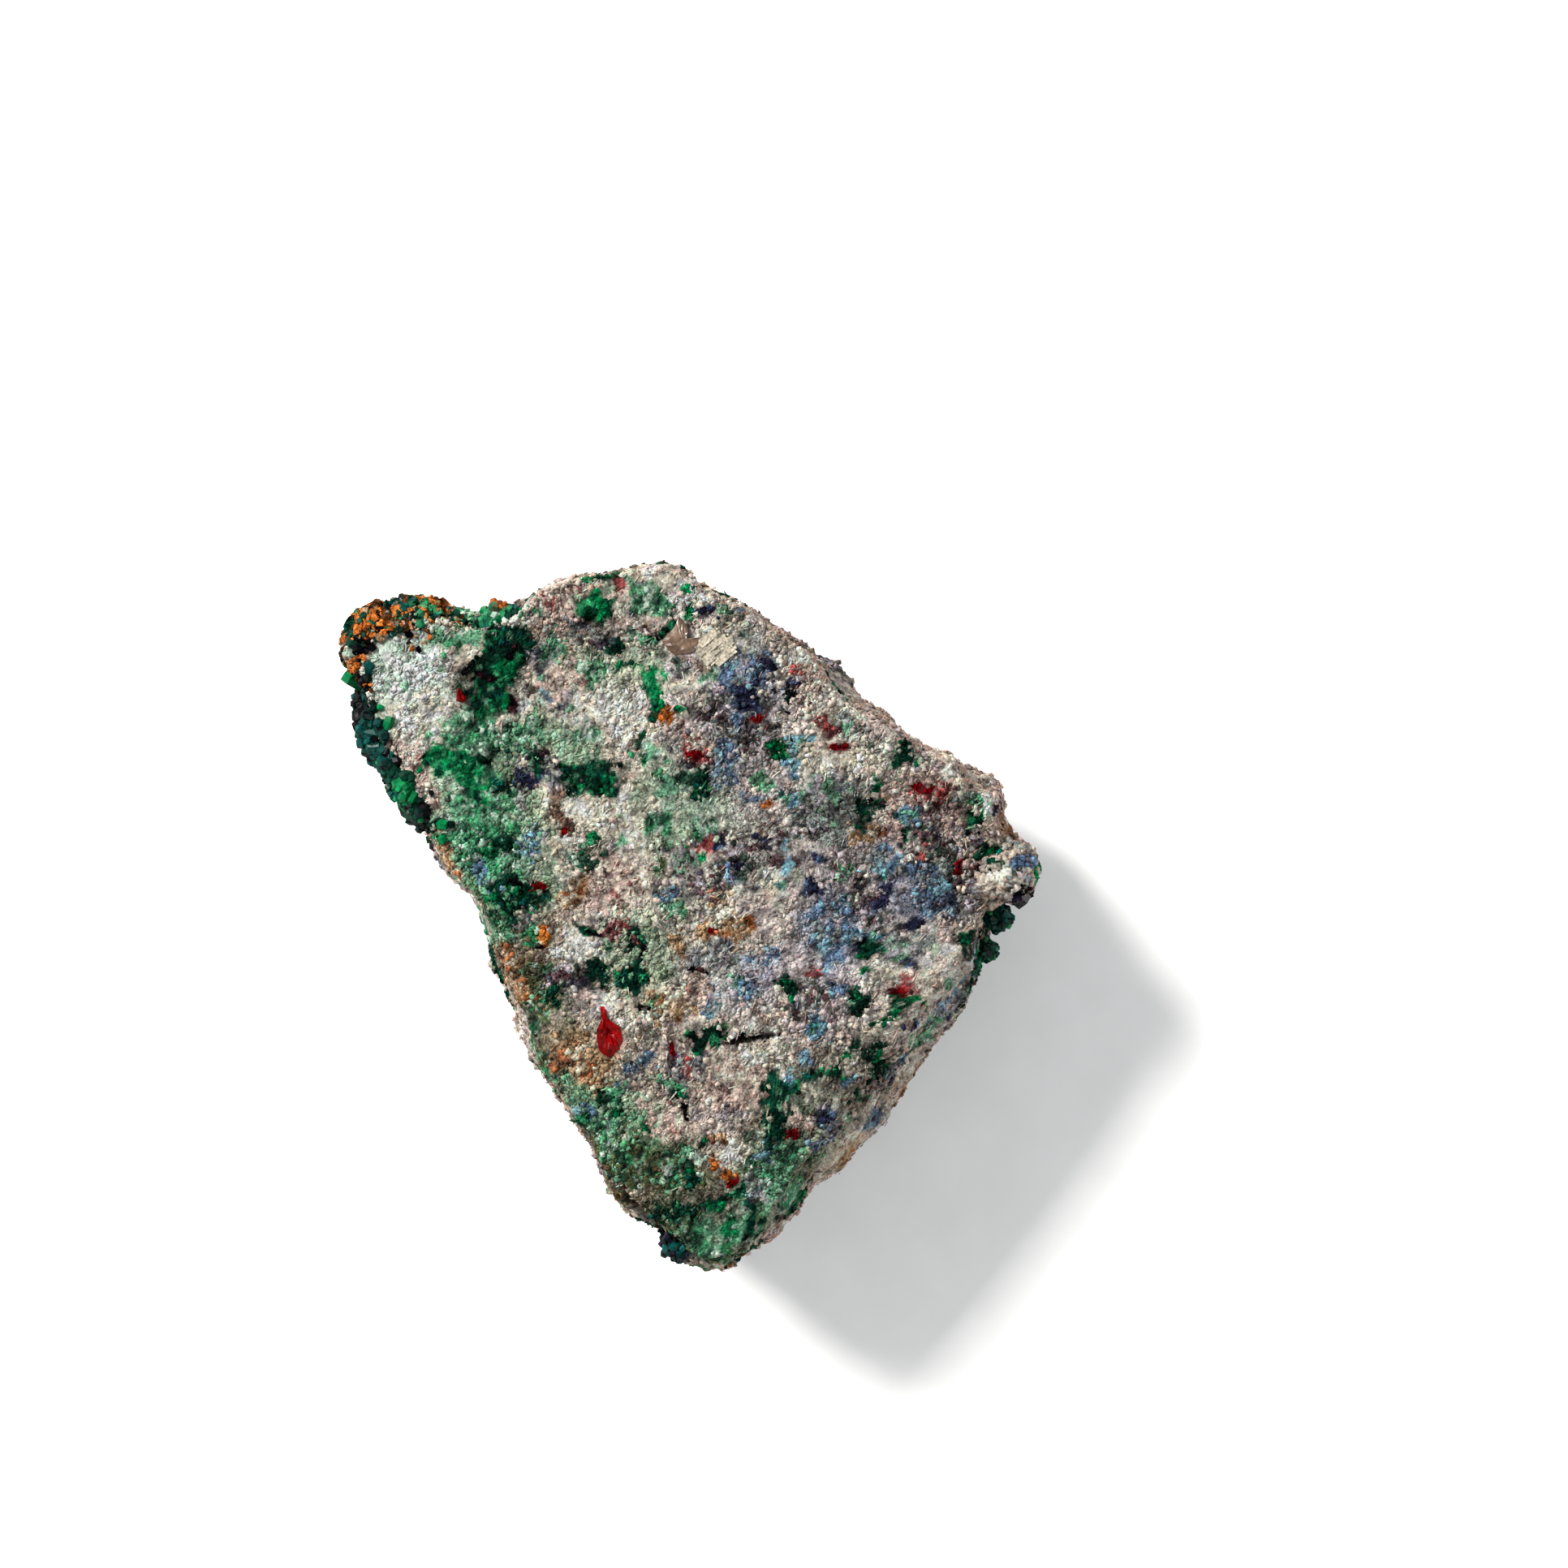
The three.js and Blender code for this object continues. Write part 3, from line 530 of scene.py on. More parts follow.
# %% Cracks
# Each crack: its two ends in plan, half width and depth.
CRACKS = [
    ((4.3, -10.5), (9.6, -9.6), 0.25, 0.8),
    ((-5.6, -24.0), (-2.4, -27.6), 0.45, 1.2),
    ((-9.0, 26.0), (-6.5, 24.6), 0.3, 0.5),
    ((-4.0, 25.4), (-2.4, 24.2), 0.3, 0.6),
]
CRACK_WANDER = 0.5
CRACKS_ABOVE = 15.0  # no crack reaches the flank below this height


def crack_depth(points):
    """How deep the cracks cut at each point: a rounded groove along each line, which noise bends."""
    depth = np.zeros(len(points))
    for start, end, half_width, deep in CRACKS:
        start, along = np.array(start), np.array(end) - np.array(start)
        wander = CRACK_WANDER * (layered_noise(points, 1.6, 91) - 0.5)
        share = np.clip(((points[:, :2] - start) @ along) / (along @ along), 0, 1)
        away = np.linalg.norm(points[:, :2] - start - share[:, None] * along, axis=1) + wander
        depth = np.maximum(depth, deep * smooth(1.3 - np.abs(away) / half_width))
    return depth * (points[:, 2] > CRACKS_ABOVE)


print("cracks:", len(CRACKS))

# %% Relief
GRAIN_STEP = 0.30  # height between the lowest and the highest grain, mm
FINE_STEP = 0.16
BLOCK_STEP = 0.5  # blocks stand out on the flank only
SWELL_FACE = 0.55
SWELL_FLANK = 0.9
SEAM_DEPTH = 0.12
SEAM_STEEPNESS = 5
FLANK_ROWS_FROM, FLANK_ROWS_TO, FLANK_FADE = 1.05, 2.1, 6


def rock_relief(points, row):
    """How far each point stands out: a plateau for each coarse and each fine grain, a wide swell and
    blocks on the flank, less the seams and the cracks. On the underside nothing stands out."""
    on_flank = smooth((row - FLANK_ROWS_FROM) * FLANK_FADE) * smooth((FLANK_ROWS_TO - row) * FLANK_FADE)
    fine_seam, fine_number = grain_cells(points, 0.8, 5)
    height = GRAIN_STEP * (grain_cells(points, 1.5, 3)[1] - 0.5) + FINE_STEP * (fine_number - 0.5)
    swell = (SWELL_FACE + SWELL_FLANK * on_flank) * (layered_noise(points, 5.0, 21) - 0.5)
    height += swell - SEAM_DEPTH * smooth(1 - SEAM_STEEPNESS * fine_seam)
    height += BLOCK_STEP * on_flank * (grain_cells(points, 3.0, 7)[1] - 0.5)
    height -= crack_depth(points)
    return np.where(row > 2 + 0.5 * FLAT_FROM, -np.abs(height), height)


relief = rock_relief(rock_base, rock_row)
rock_points = rock_base + base_normals * relief[:, None]
rock_points[:, 2] = np.maximum(rock_points[:, 2], 0)
rock_normals = surface_normals(rock_points, rock_quads)
print("relief in mm:", relief.min().round(2), "to", relief.max().round(2))

# %% [markdown]
# ## The crusts' places
#
# Each crust on the flank is a ragged oval in shares and rows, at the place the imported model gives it.

# %% Crusts
# Share and row of the middle, half length along the edge in mm, half height in rows, thickness, seed.
CRUSTS = {
    "dioptase_crust": (0.945, 1.34, 8.3, 0.37, 0.7, 0),
    "limonite_crust": (1.0185, 1.22, 5.9, 0.26, 1.6, 1),
    "dioptase_rim": (0.073, 1.2, 2.1, 0.14, 0.7, 2),
    "azurite_knob": (0.3965, 1.18, 2.7, 0.34, 1.5, 3),
    "dioptase_patch_upper": (0.42, 1.3, 1.5, 0.1, 0.9, 4),
    "dioptase_patch_lower": (0.438, 1.42, 1.3, 0.08, 0.6, 5),
    "dioptase_tip": (0.666, 1.34, 1.9, 0.17, 0.4, 6),
}
CRUST_EDGE = 0.6
OVAL_SHARE = 0.8  # the even part of a crust's reach; its ragged rim gives the rest
RAGGEDNESS = 0.1
SQUARENESS = 0.85  # under one, so the oval is a little square


def crust_place(crust, turn, reach):
    """Share and row at a turn round the crust and a reach from its middle (0) to its ragged rim (1)."""
    at, row, along, down, _, seed = crust
    ragged = np.sin(2 * turn + seed) + np.sin(5 * turn + 2 * seed)
    spread = reach * (OVAL_SHARE + RAGGEDNESS * ragged)
    side, rise = (np.sign(v) * np.abs(v) ** SQUARENESS for v in (np.cos(turn), np.sin(turn)))
    return at + along / EDGE_LENGTH * spread * side, row + down * spread * rise


print("crusts:", len(CRUSTS))

# %% [markdown]
# ## Minerals in the rock
#
# The pale ground is quartz and calcite, peppered with dark specks. Fields of ore lie in it: dioptase,
# azurite, cuprite and iron stain. No field is one colour. A green one holds emerald, bottle green
# and nearly black crystals side by side, so a field is a mix of tints, and each crystal in it takes
# one. The fields in the broken face are ovals at places of their own, which noise makes ragged. On the
# flanks and the underside the same fields are strewn at random.

# %% Tints
def srgb(red, green, blue):
    """A colour given as screen values, in the linear values that materials use."""
    c = np.array([red, green, blue]) / 255
    return np.where(c <= 0.04045, c / 12.92, ((c + 0.055) / 1.055) ** 2.4)


MINERAL = {
    "cream": srgb(190, 181, 163),
    "white": srgb(204, 201, 190),
    "pinkish": srgb(172, 151, 142),
    "lilac": srgb(154, 144, 152),
    "grey": srgb(122, 128, 124),
    "mint": srgb(168, 188, 173),
    "sage": srgb(98, 150, 118),
    "ochre": srgb(150, 122, 92),
    "olive": srgb(74, 80, 48),
    "green": srgb(42, 124, 82),
    "emerald": srgb(2, 112, 62),
    "deep_green": srgb(8, 52, 38),
    "teal": srgb(4, 68, 62),
    "bottle": srgb(2, 28, 24),
    "blue": srgb(80, 104, 132),
    "cyan": srgb(116, 158, 170),
    "navy": srgb(34, 34, 58),
    "plum": srgb(70, 38, 46),
    "rose": srgb(142, 62, 62),
    "red": srgb(108, 4, 8),
    "orange": srgb(196, 108, 46),
    "rust": srgb(150, 80, 36),
    "taupe": srgb(112, 92, 80),
    "umber": srgb(78, 48, 30),
    "black": srgb(5, 4, 8),
}
print("minerals:", len(MINERAL))

# %% Mixes of tints
GROUND_MIX = {"cream": 7, "white": 2.5, "pinkish": 5, "lilac": 2.5, "grey": 1.8, "sage": 0.6, "ochre": 0.8,
              "plum": 0.7, "navy": 0.6, "deep_green": 0.7, "black": 0.4}
FIELD_MIX = {
    "pale": {"white": 4, "cream": 6, "pinkish": 1},
    "pink": {"pinkish": 7, "cream": 3, "rose": 0.4, "plum": 0.5},
    "ochre": {"ochre": 7, "cream": 2, "umber": 1, "rust": 1},
    "taupe": {"taupe": 1},
    "olive": {"olive": 4.5, "umber": 0.6, "deep_green": 2.5, "sage": 3.6, "green": 1.5, "grey": 1.4,
              "mint": 0.5, "black": 0.7},
    "grey": {"grey": 6, "lilac": 2, "navy": 1, "sage": 1},
    "speckled": {"plum": 3, "navy": 3, "grey": 4, "lilac": 3, "cream": 2, "black": 1.5, "deep_green": 2},
    "mint": {"mint": 7, "white": 3, "sage": 0.6},
    "blue": {"blue": 5, "navy": 2, "cyan": 2.5, "lilac": 1.5, "grey": 2},
    "green": {"green": 3, "sage": 6.5, "mint": 2.6, "grey": 1, "deep_green": 2.6, "emerald": 0.8,
              "bottle": 0.6},
    "cyan": {"cyan": 4, "teal": 2, "blue": 3, "sage": 1},
    "navy": {"navy": 6, "black": 2, "blue": 2},
    "dark": {"deep_green": 5, "black": 4, "emerald": 1.8, "bottle": 6, "teal": 1.6, "green": 1.2,
             "sage": 0.8},
    "rose": {"rose": 5, "red": 1, "plum": 2, "pinkish": 3},
    "bright": {"emerald": 5, "green": 4, "deep_green": 3, "bottle": 1},
    "rust": {"orange": 3, "rust": 5, "umber": 2},
    "red": {"red": 8, "plum": 1},
    "black": {"black": 8, "bottle": 1, "plum": 1},
}
print("minerals in the ground:", len(GROUND_MIX), "kinds of field:", len(FIELD_MIX))

# %% Fields placed in the broken face
# Each field, from wide grounds to small bright spots: middle in plan, half length, half width, turn
# in degrees, and how full of it the oval's middle is.
FACE_FIELDS = {
    "pale": [
        (-18.9, 22.9, 1.0, 0.7, 0, 0.9), (-17.6, 23.9, 1.1, 0.5, 10, 0.8), (-23.6, 17.3, 2.6, 2.4, 0, 0.7),
        (-14.2, 18.3, 1.1, 1.0, 0, 0.8), (-14.0, 26.4, 1.8, 1.0, 20, 0.6), (-2.5, 29.6, 2.4, 1.0, 0, 0.8),
        (-7.2, 18.6, 2.4, 1.5, 0, 0.8), (-5.0, 16.6, 2.2, 1.4, 0, 0.7), (10.6, 13.2, 1.4, 1.1, 0, 0.8),
        (12.8, 13.3, 1.6, 1.1, 0, 0.9), (15.6, 13.8, 1.8, 1.5, 0, 0.7), (22.7, 12.2, 1.4, 0.8, -35, 0.8),
        (-8.0, 9.2, 2.9, 2.1, 0, 0.85), (7.4, 3.0, 1.5, 1.5, 0, 0.6), (27.0, 3.8, 1.3, 1.1, 0, 0.9),
        (21.0, 7.0, 1.0, 1.0, 0, 0.6), (-9.5, -2.4, 2.4, 1.3, 0, 0.7), (17.5, -4.5, 2.1, 1.2, 0, 0.7),
        (22.8, -3.6, 1.9, 1.5, 0, 0.7), (24.6, -5.0, 2.4, 1.0, 62, 0.9), (22.6, -8.6, 2.2, 1.1, 58, 0.9),
        (6.5, -12.3, 2.4, 1.3, 0, 0.6), (4.2, -20.4, 1.3, 1.3, 0, 0.7), (11.3, -22.2, 1.3, 0.8, 40, 0.8),
        (9.4, -25.2, 1.8, 0.6, 50, 0.8), (-9.5, 28.8, 1.6, 0.6, 10, 0.7), (3.5, 23.0, 1.8, 1.2, 0, 0.6),
    ],
    "pink": [
        (-10.6, 26.1, 2.2, 2.4, 0, 0.8), (-11.5, 21.0, 2.0, 1.5, 0, 0.7), (-15.6, 16.8, 1.3, 0.7, 0, 0.8),
        (-23.0, 12.4, 0.9, 3.0, 22, 0.8), (-6.3, 3.2, 2.6, 2.2, 0, 0.8), (11.3, 20.8, 1.0, 1.5, 0, 0.7),
        (1.5, 16.3, 2.2, 2.6, 0, 0.5), (4.0, -14.5, 3.2, 2.6, 0, 0.7), (-3.4, -15.3, 1.3, 1.0, 0, 0.8),
        (-1.5, -17.4, 1.8, 1.3, 0, 0.8), (9.2, -16.8, 1.3, 1.0, 0, 0.8), (0.0, -6.3, 2.0, 1.1, 0, 0.7),
        (20.5, -11.0, 1.8, 1.2, 0, 0.7), (22.5, 6.5, 2.6, 3.0, 0, 0.6), (8.5, -7.5, 2.4, 1.2, 0, 0.6),
    ],
    "ochre": [
        (-21.0, 6.2, 0.8, 1.4, 0, 0.9), (-20.4, 4.5, 1.2, 0.9, 0, 0.9), (-10.2, 2.0, 1.6, 1.3, 0, 0.7),
        (-15.1, -5.2, 1.1, 1.8, 15, 0.95), (-14.0, -6.6, 1.2, 0.6, 0, 0.8), (-16.1, -3.1, 0.9, 0.9, 0, 0.8),
        (-9.4, -11.8, 2.4, 2.0, 0, 0.85), (-8.2, -13.9, 1.8, 0.8, 0, 0.7), (-1.6, -7.8, 2.2, 0.9, 0, 0.8),
        (3.4, -1.0, 2.4, 1.2, 0, 0.7), (2.2, 1.5, 1.3, 0.8, 0, 0.7), (-0.8, -2.6, 1.1, 0.6, -30, 0.8),
        (15.4, 7.2, 1.9, 0.7, 0, 0.8), (-5.0, -22.2, 1.8, 0.9, 0, 0.7), (-4.6, -25.4, 1.7, 0.5, -38, 0.95),
        (2.8, -19.2, 0.8, 0.7, 0, 0.8),
    ],
    "taupe": [
        (-10.9, 9.3, 0.55, 1.6, 15, 1.0),
    ],
    "olive": [
        (-5.4, -21.2, 2.4, 2.0, 0, 0.8), (-1.6, -21.0, 2.4, 1.4, 0, 0.7),
        (-12.8, -12.6, 1.9, 0.9, -52, 0.8), (-12.6, -7.2, 2.0, 1.1, 0, 0.7),
        (-12.9, -4.8, 1.5, 1.2, 0, 0.7), (3.4, -29.5, 2.2, 0.9, 0, 0.8), (0.4, -26.8, 3.0, 2.0, 0, 0.7),
        (11.0, -20.5, 1.3, 0.6, 0, 0.7), (5.4, -26.2, 0.8, 2.6, 0, 0.8), (-1.4, 5.4, 1.5, 1.5, 0, 0.6),
        (-3.6, -7.4, 1.2, 0.7, 0, 0.5),
    ],
    "grey": [
        (-12.9, 23.2, 1.8, 1.5, 0, 0.7), (12.0, 10.2, 2.5, 2.1, 0, 0.75), (11.2, 8.2, 2.1, 1.5, 0, 0.7),
        (-10.4, 17.8, 2.0, 2.0, 0, 0.5), (18.5, -2.0, 2.4, 1.4, 0, 0.6), (6.3, -23.4, 0.9, 1.5, 0, 0.8),
        (-14.7, 10.2, 1.1, 1.5, 0, 0.5), (3.2, -3.2, 1.8, 1.0, 0, 0.6), (14.0, 16.5, 3.2, 1.0, -38, 0.5),
    ],
    "speckled": [
        (3.6, 16.6, 5.0, 4.2, 60, 0.45), (21.6, 7.0, 3.6, 4.4, 30, 0.55), (-10.6, -5.4, 2.6, 1.3, 0, 0.7),
        (2.2, 4.6, 4.2, 3.6, 0, 0.5), (9.5, 6.0, 3.2, 2.6, 0, 0.45), (15.3, 2.2, 4.0, 3.2, 0, 0.5),
        (11.5, -7.0, 3.6, 2.6, 0, 0.5), (12.0, -17.4, 2.0, 1.6, 0, 0.6), (-8.2, 24.6, 2.3, 1.1, 0, 0.6),
        (-12.6, 12.6, 2.6, 1.6, 0, 0.5), (-1.2, 22.6, 1.8, 1.8, 0, 0.5), (22.3, 3.0, 2.6, 2.4, 0, 0.5),
        (-14.4, -0.8, 1.6, 1.6, 0, 0.6), (0.2, -12.2, 1.6, 2.4, 0, 0.5), (3.6, -17.0, 1.4, 1.0, 0, 0.5),
    ],
    "mint": [
        (-24.4, 22.2, 3.3, 2.6, 0, 0.95), (-22.4, 24.5, 2.0, 1.0, 0, 0.7), (13.3, 19.3, 1.5, 0.8, -38, 0.7),
        (26.0, 10.6, 1.3, 1.1, 0, 0.7), (-19.0, 10.6, 1.7, 1.3, 0, 0.5), (0.9, 8.5, 1.3, 0.7, 20, 0.5),
    ],
    "blue": [
        (5.0, 21.2, 2.4, 1.5, 0, 0.85), (4.4, 18.2, 1.1, 2.2, 0, 0.8), (3.7, 13.6, 1.0, 1.5, 0, 0.7),
        (2.2, 12.0, 0.8, 0.8, 0, 0.6), (16.8, 5.4, 1.3, 0.7, 0, 0.8), (20.2, 3.8, 1.7, 0.8, 0, 0.8),
        (21.2, 1.5, 1.6, 1.4, 0, 0.85), (12.0, 0.8, 1.6, 1.4, 0, 0.9), (12.0, -2.4, 1.0, 1.7, 0, 0.9),
        (13.4, -1.0, 0.9, 0.9, 0, 0.8), (3.9, 3.3, 1.1, 0.9, 0, 0.7), (6.4, -3.3, 1.4, 0.9, 10, 0.85),
        (5.8, -6.2, 0.6, 0.9, 0, 0.9), (-13.2, 6.6, 0.6, 1.0, 0, 0.85), (-4.6, -13.1, 1.8, 0.6, 42, 0.95),
        (11.4, -18.9, 1.1, 0.7, 0, 0.8), (-12.4, 19.4, 0.7, 0.5, 0, 0.9), (12.8, -5.8, 0.8, 0.5, 0, 0.7),
        (-1.9, 2.2, 1.0, 0.6, 0, 0.8), (-4.8, 26.7, 0.4, 0.5, 0, 0.8), (4.3, 26.7, 0.5, 0.3, 0, 0.8),
        (15.0, 18.0, 0.9, 0.5, -30, 0.6), (23.0, 13.2, 0.6, 0.4, -30, 0.9), (5.4, 10.5, 0.9, 0.5, 0, 0.8),
    ],
    "green": [
        (-20.0, 24.2, 2.6, 1.0, 15, 0.75), (-19.2, 16.4, 2.5, 2.0, 0, 0.85),
        (-18.0, 8.2, 3.0, 3.4, 0, 0.85), (-16.4, 4.0, 2.6, 2.5, 0, 0.85), (-14.2, 15.6, 1.9, 1.6, 0, 0.75),
        (-13.0, 18.0, 1.0, 1.1, 0, 0.75), (-11.8, 23.5, 1.0, 0.9, 0, 0.7), (-13.2, 26.0, 0.9, 0.5, 0, 0.7),
        (-8.3, 21.6, 1.5, 1.2, 0, 0.75), (-9.0, 15.6, 1.2, 0.6, 0, 0.75), (-4.0, 28.4, 1.2, 0.6, -35, 0.8),
        (-3.2, 27.3, 1.5, 0.9, 0, 0.8), (-4.7, 24.9, 1.0, 0.6, 0, 0.75), (1.5, 20.8, 1.0, 0.5, 15, 0.8),
        (-3.0, 14.4, 1.2, 0.7, 0, 0.75), (-1.4, 12.2, 1.3, 0.9, 0, 0.7), (3.1, 26.6, 0.7, 0.3, -20, 0.85),
        (-2.5, 8.6, 1.0, 0.9, 0, 0.75), (0.8, 8.4, 1.3, 0.8, 20, 0.8), (-9.4, 5.1, 1.3, 0.8, 0, 0.8),
        (-6.0, 7.0, 0.5, 0.7, 0, 0.8), (-1.1, 0.6, 1.2, 0.7, 0, 0.8), (-13.2, -1.4, 1.0, 1.0, 0, 0.7),
        (-16.2, -1.2, 1.1, 1.1, 0, 0.9), (-6.8, -19.0, 0.9, 1.4, 0, 0.8), (-1.3, -14.4, 1.1, 0.6, -30, 0.9),
        (-5.5, -17.6, 2.2, 0.8, 0, 0.6), (8.0, -22.2, 1.9, 2.2, 0, 0.85), (8.2, -24.8, 1.4, 0.9, 20, 0.85),
        (2.8, -27.4, 2.2, 1.6, 0, 0.85), (15.0, -17.6, 1.4, 0.9, 30, 0.7), (16.2, 12.0, 0.5, 0.7, 0, 0.8),
        (13.4, 4.2, 0.8, 0.8, 0, 0.8), (24.6, 10.6, 0.6, 0.6, 0, 0.8), (6.8, 12.0, 1.0, 0.8, 0, 0.7),
        (-7.0, -15.3, 1.8, 0.7, 10, 0.8), (23.0, -5.6, 0.5, 0.5, 0, 0.7),
        (-10.6, -14.0, 1.0, 0.7, -40, 0.7), (-14.0, -9.6, 1.0, 1.7, 25, 0.7),
    ],
    "cyan": [
        (9.0, 13.7, 0.9, 1.2, 30, 0.8), (9.6, 15.3, 1.0, 0.5, 0, 0.8), (8.8, 10.5, 0.7, 0.6, 0, 0.9),
        (8.5, 5.0, 0.6, 1.6, 0, 0.65), (16.6, 4.2, 1.4, 0.8, 0, 0.6), (18.8, 8.8, 0.9, 0.9, 0, 0.8),
        (15.4, -1.4, 1.3, 0.5, 0, 0.7), (11.3, -9.3, 1.0, 0.8, 0, 0.9), (10.2, -11.8, 0.9, 0.6, 0, 0.7),
        (8.3, -13.7, 0.8, 0.5, 0, 0.9), (13.8, -13.9, 0.8, 0.4, 0, 0.8), (6.9, -20.0, 0.8, 1.1, 0, 0.8),
        (-8.9, -16.8, 0.7, 1.0, 30, 0.8), (4.2, -6.1, 0.9, 0.9, 0, 0.7), (2.0, -7.9, 0.9, 0.6, 0, 0.8),
        (-18.2, 4.2, 0.8, 0.8, 0, 0.5), (-13.9, 6.2, 0.9, 1.2, 0, 0.4),
    ],
    "navy": [
        (6.7, 21.2, 0.7, 0.9, 0, 0.85), (4.8, 19.2, 1.2, 0.9, 0, 0.8), (2.6, 6.7, 0.8, 0.8, 0, 0.95),
        (3.6, 4.7, 1.0, 0.8, 0, 0.9), (10.5, 2.6, 0.9, 0.7, -30, 0.9), (11.2, 5.2, 0.6, 0.4, 0, 0.9),
        (6.6, 7.2, 0.7, 0.3, -10, 0.8), (9.2, 20.3, 0.6, 0.5, 0, 0.7), (20.2, -0.3, 1.0, 0.5, 0, 0.8),
        (-13.5, 12.0, 1.2, 0.7, 0, 0.6), (19.4, -9.3, 0.9, 0.5, 0, 0.9), (12.2, -17.2, 1.1, 0.8, 0, 0.7),
        (12.6, -20.9, 0.5, 0.5, 0, 0.9), (17.6, -15.6, 0.5, 0.5, 0, 0.9), (27.1, 9.4, 0.4, 0.8, 0, 0.9),
        (1.5, 26.6, 1.0, 0.3, -20, 0.8), (16.6, 1.4, 1.5, 0.7, 45, 0.7), (19.2, -3.8, 0.8, 0.5, 0, 0.7),
    ],
    "dark": [
        (-16.2, 22.4, 1.9, 3.2, -22, 0.95), (-15.1, 24.6, 1.0, 1.0, 0, 0.9),
        (-17.8, 19.0, 1.5, 1.3, 0, 0.85), (-16.6, 13.0, 1.7, 1.7, 0, 0.45),
        (-17.0, 16.0, 1.1, 1.4, 0, 0.45), (-7.5, 12.4, 1.9, 1.6, 0, 0.95), (-10.0, 12.0, 1.3, 1.1, 0, 0.85),
        (-3.5, 24.3, 0.8, 0.5, 0, 0.95), (-1.9, 25.3, 1.1, 0.6, 50, 0.95), (-6.1, 23.3, 0.7, 0.7, 0, 0.85),
        (-13.2, 13.1, 0.7, 0.8, 0, 0.9), (-16.4, 6.3, 1.0, 0.7, 0, 0.85), (-15.5, 2.8, 2.0, 1.4, 0, 0.7),
        (-16.4, 0.7, 1.8, 1.2, 0, 0.5), (-13.3, 2.2, 1.0, 1.3, 0, 0.8), (0.7, 11.9, 0.9, 1.4, 0, 0.8),
        (-7.8, -1.2, 1.4, 0.5, -25, 0.9), (-4.8, -1.9, 0.8, 1.3, 0, 0.9), (-5.0, -5.4, 1.3, 1.4, 0, 0.95),
        (-7.8, -5.0, 1.1, 1.2, 0, 0.85), (-11.4, -6.8, 0.9, 1.1, 0, 0.85), (8.9, -6.0, 0.5, 1.0, -28, 0.95),
        (15.0, -2.8, 1.4, 1.1, 0, 0.95), (14.7, -6.9, 1.1, 0.9, 0, 0.9), (24.4, -1.8, 0.6, 1.3, 0, 0.9),
        (24.9, 8.8, 0.8, 0.7, 0, 0.9), (26.0, 6.1, 1.3, 0.8, 0, 0.95), (15.0, 9.1, 1.1, 1.3, 0, 0.85),
        (18.7, 14.2, 0.9, 0.9, 0, 0.8), (18.9, 7.2, 0.4, 0.8, -20, 0.9), (1.6, -10.5, 1.8, 0.8, 0, 0.95),
        (7.2, -15.2, 1.6, 1.6, 0, 0.95), (9.4, -14.0, 1.2, 0.6, 30, 0.9), (7.2, -18.0, 0.6, 1.5, 0, 0.85),
        (10.7, -13.4, 0.9, 0.5, 0, 0.9), (12.7, -12.7, 1.1, 0.5, 30, 0.9), (14.4, -11.3, 0.9, 0.4, 45, 0.9),
        (16.4, -12.7, 1.0, 1.4, 0, 0.9), (15.3, -15.7, 1.2, 0.8, 0, 0.9), (-6.6, -16.9, 0.9, 0.8, 0, 0.85),
        (-8.9, -17.9, 0.6, 0.9, 20, 0.9), (0.2, -22.2, 0.6, 0.9, 0, 0.9), (1.2, -19.3, 0.5, 0.6, 0, 0.85),
        (2.4, -24.5, 2.6, 0.5, 12, 0.9), (5.2, -26.0, 0.5, 2.4, 0, 0.8), (6.4, -27.0, 1.2, 0.8, 30, 0.85),
        (-1.0, -25.5, 2.4, 1.0, 0, 0.6), (-5.8, -24.8, 0.5, 0.6, 0, 0.8), (-7.9, -15.2, 0.8, 0.6, 0, 0.8),
        (12.6, -21.4, 0.9, 0.4, 30, 0.9), (-0.9, -15.2, 0.8, 0.3, 0, 0.9),
    ],
    "rose": [
        (20.8, 11.1, 1.6, 0.9, -10, 0.95), (11.9, 16.7, 1.0, 0.6, -10, 0.75),
        (-5.8, 29.0, 0.5, 1.0, -15, 0.9), (-5.9, -0.9, 1.0, 0.9, 0, 0.75), (0.8, 14.7, 1.1, 0.7, 0, 0.8),
        (5.8, 17.3, 0.8, 0.5, 20, 0.8), (24.3, 4.6, 0.7, 0.3, 0, 0.9), (20.2, 5.3, 0.4, 0.5, 0, 0.8),
        (0.6, 6.4, 1.1, 0.6, 20, 0.8), (9.6, 21.3, 1.0, 0.6, 0, 0.7), (19.0, -5.9, 1.3, 0.8, 40, 0.8),
        (0.5, -13.0, 0.4, 1.0, 0, 0.7), (-12.0, 27.0, 1.4, 0.8, 0, 0.35), (17.3, 12.2, 1.1, 0.7, 0, 0.4),
        (10.9, -4.6, 0.7, 0.3, 0, 0.7),
    ],
    "bright": [
        (-7.8, 26.9, 1.8, 1.1, 10, 0.98), (-15.7, 21.7, 1.0, 1.2, 0, 0.85), (-16.5, 18.4, 0.9, 0.7, 0, 0.8),
        (-3.3, 20.9, 0.8, 1.3, 15, 0.98), (-5.0, 21.8, 0.9, 0.4, 0, 0.9), (-2.6, 18.9, 0.5, 1.2, 15, 0.95),
        (-2.9, 17.5, 0.5, 0.5, 0, 0.9), (-21.8, 13.6, 1.4, 0.8, 10, 0.9), (-19.6, 13.1, 1.7, 0.9, 10, 0.9),
        (-6.2, 30.0, 1.0, 0.6, 40, 0.9), (-8.6, 29.4, 1.5, 0.4, 0, 0.85), (0.2, 26.5, 0.4, 0.8, 0, 0.9),
        (-0.2, 28.6, 0.4, 0.4, 0, 0.9), (7.9, 14.4, 0.9, 0.9, 0, 0.95), (-4.1, 13.9, 0.3, 1.0, 0, 0.85),
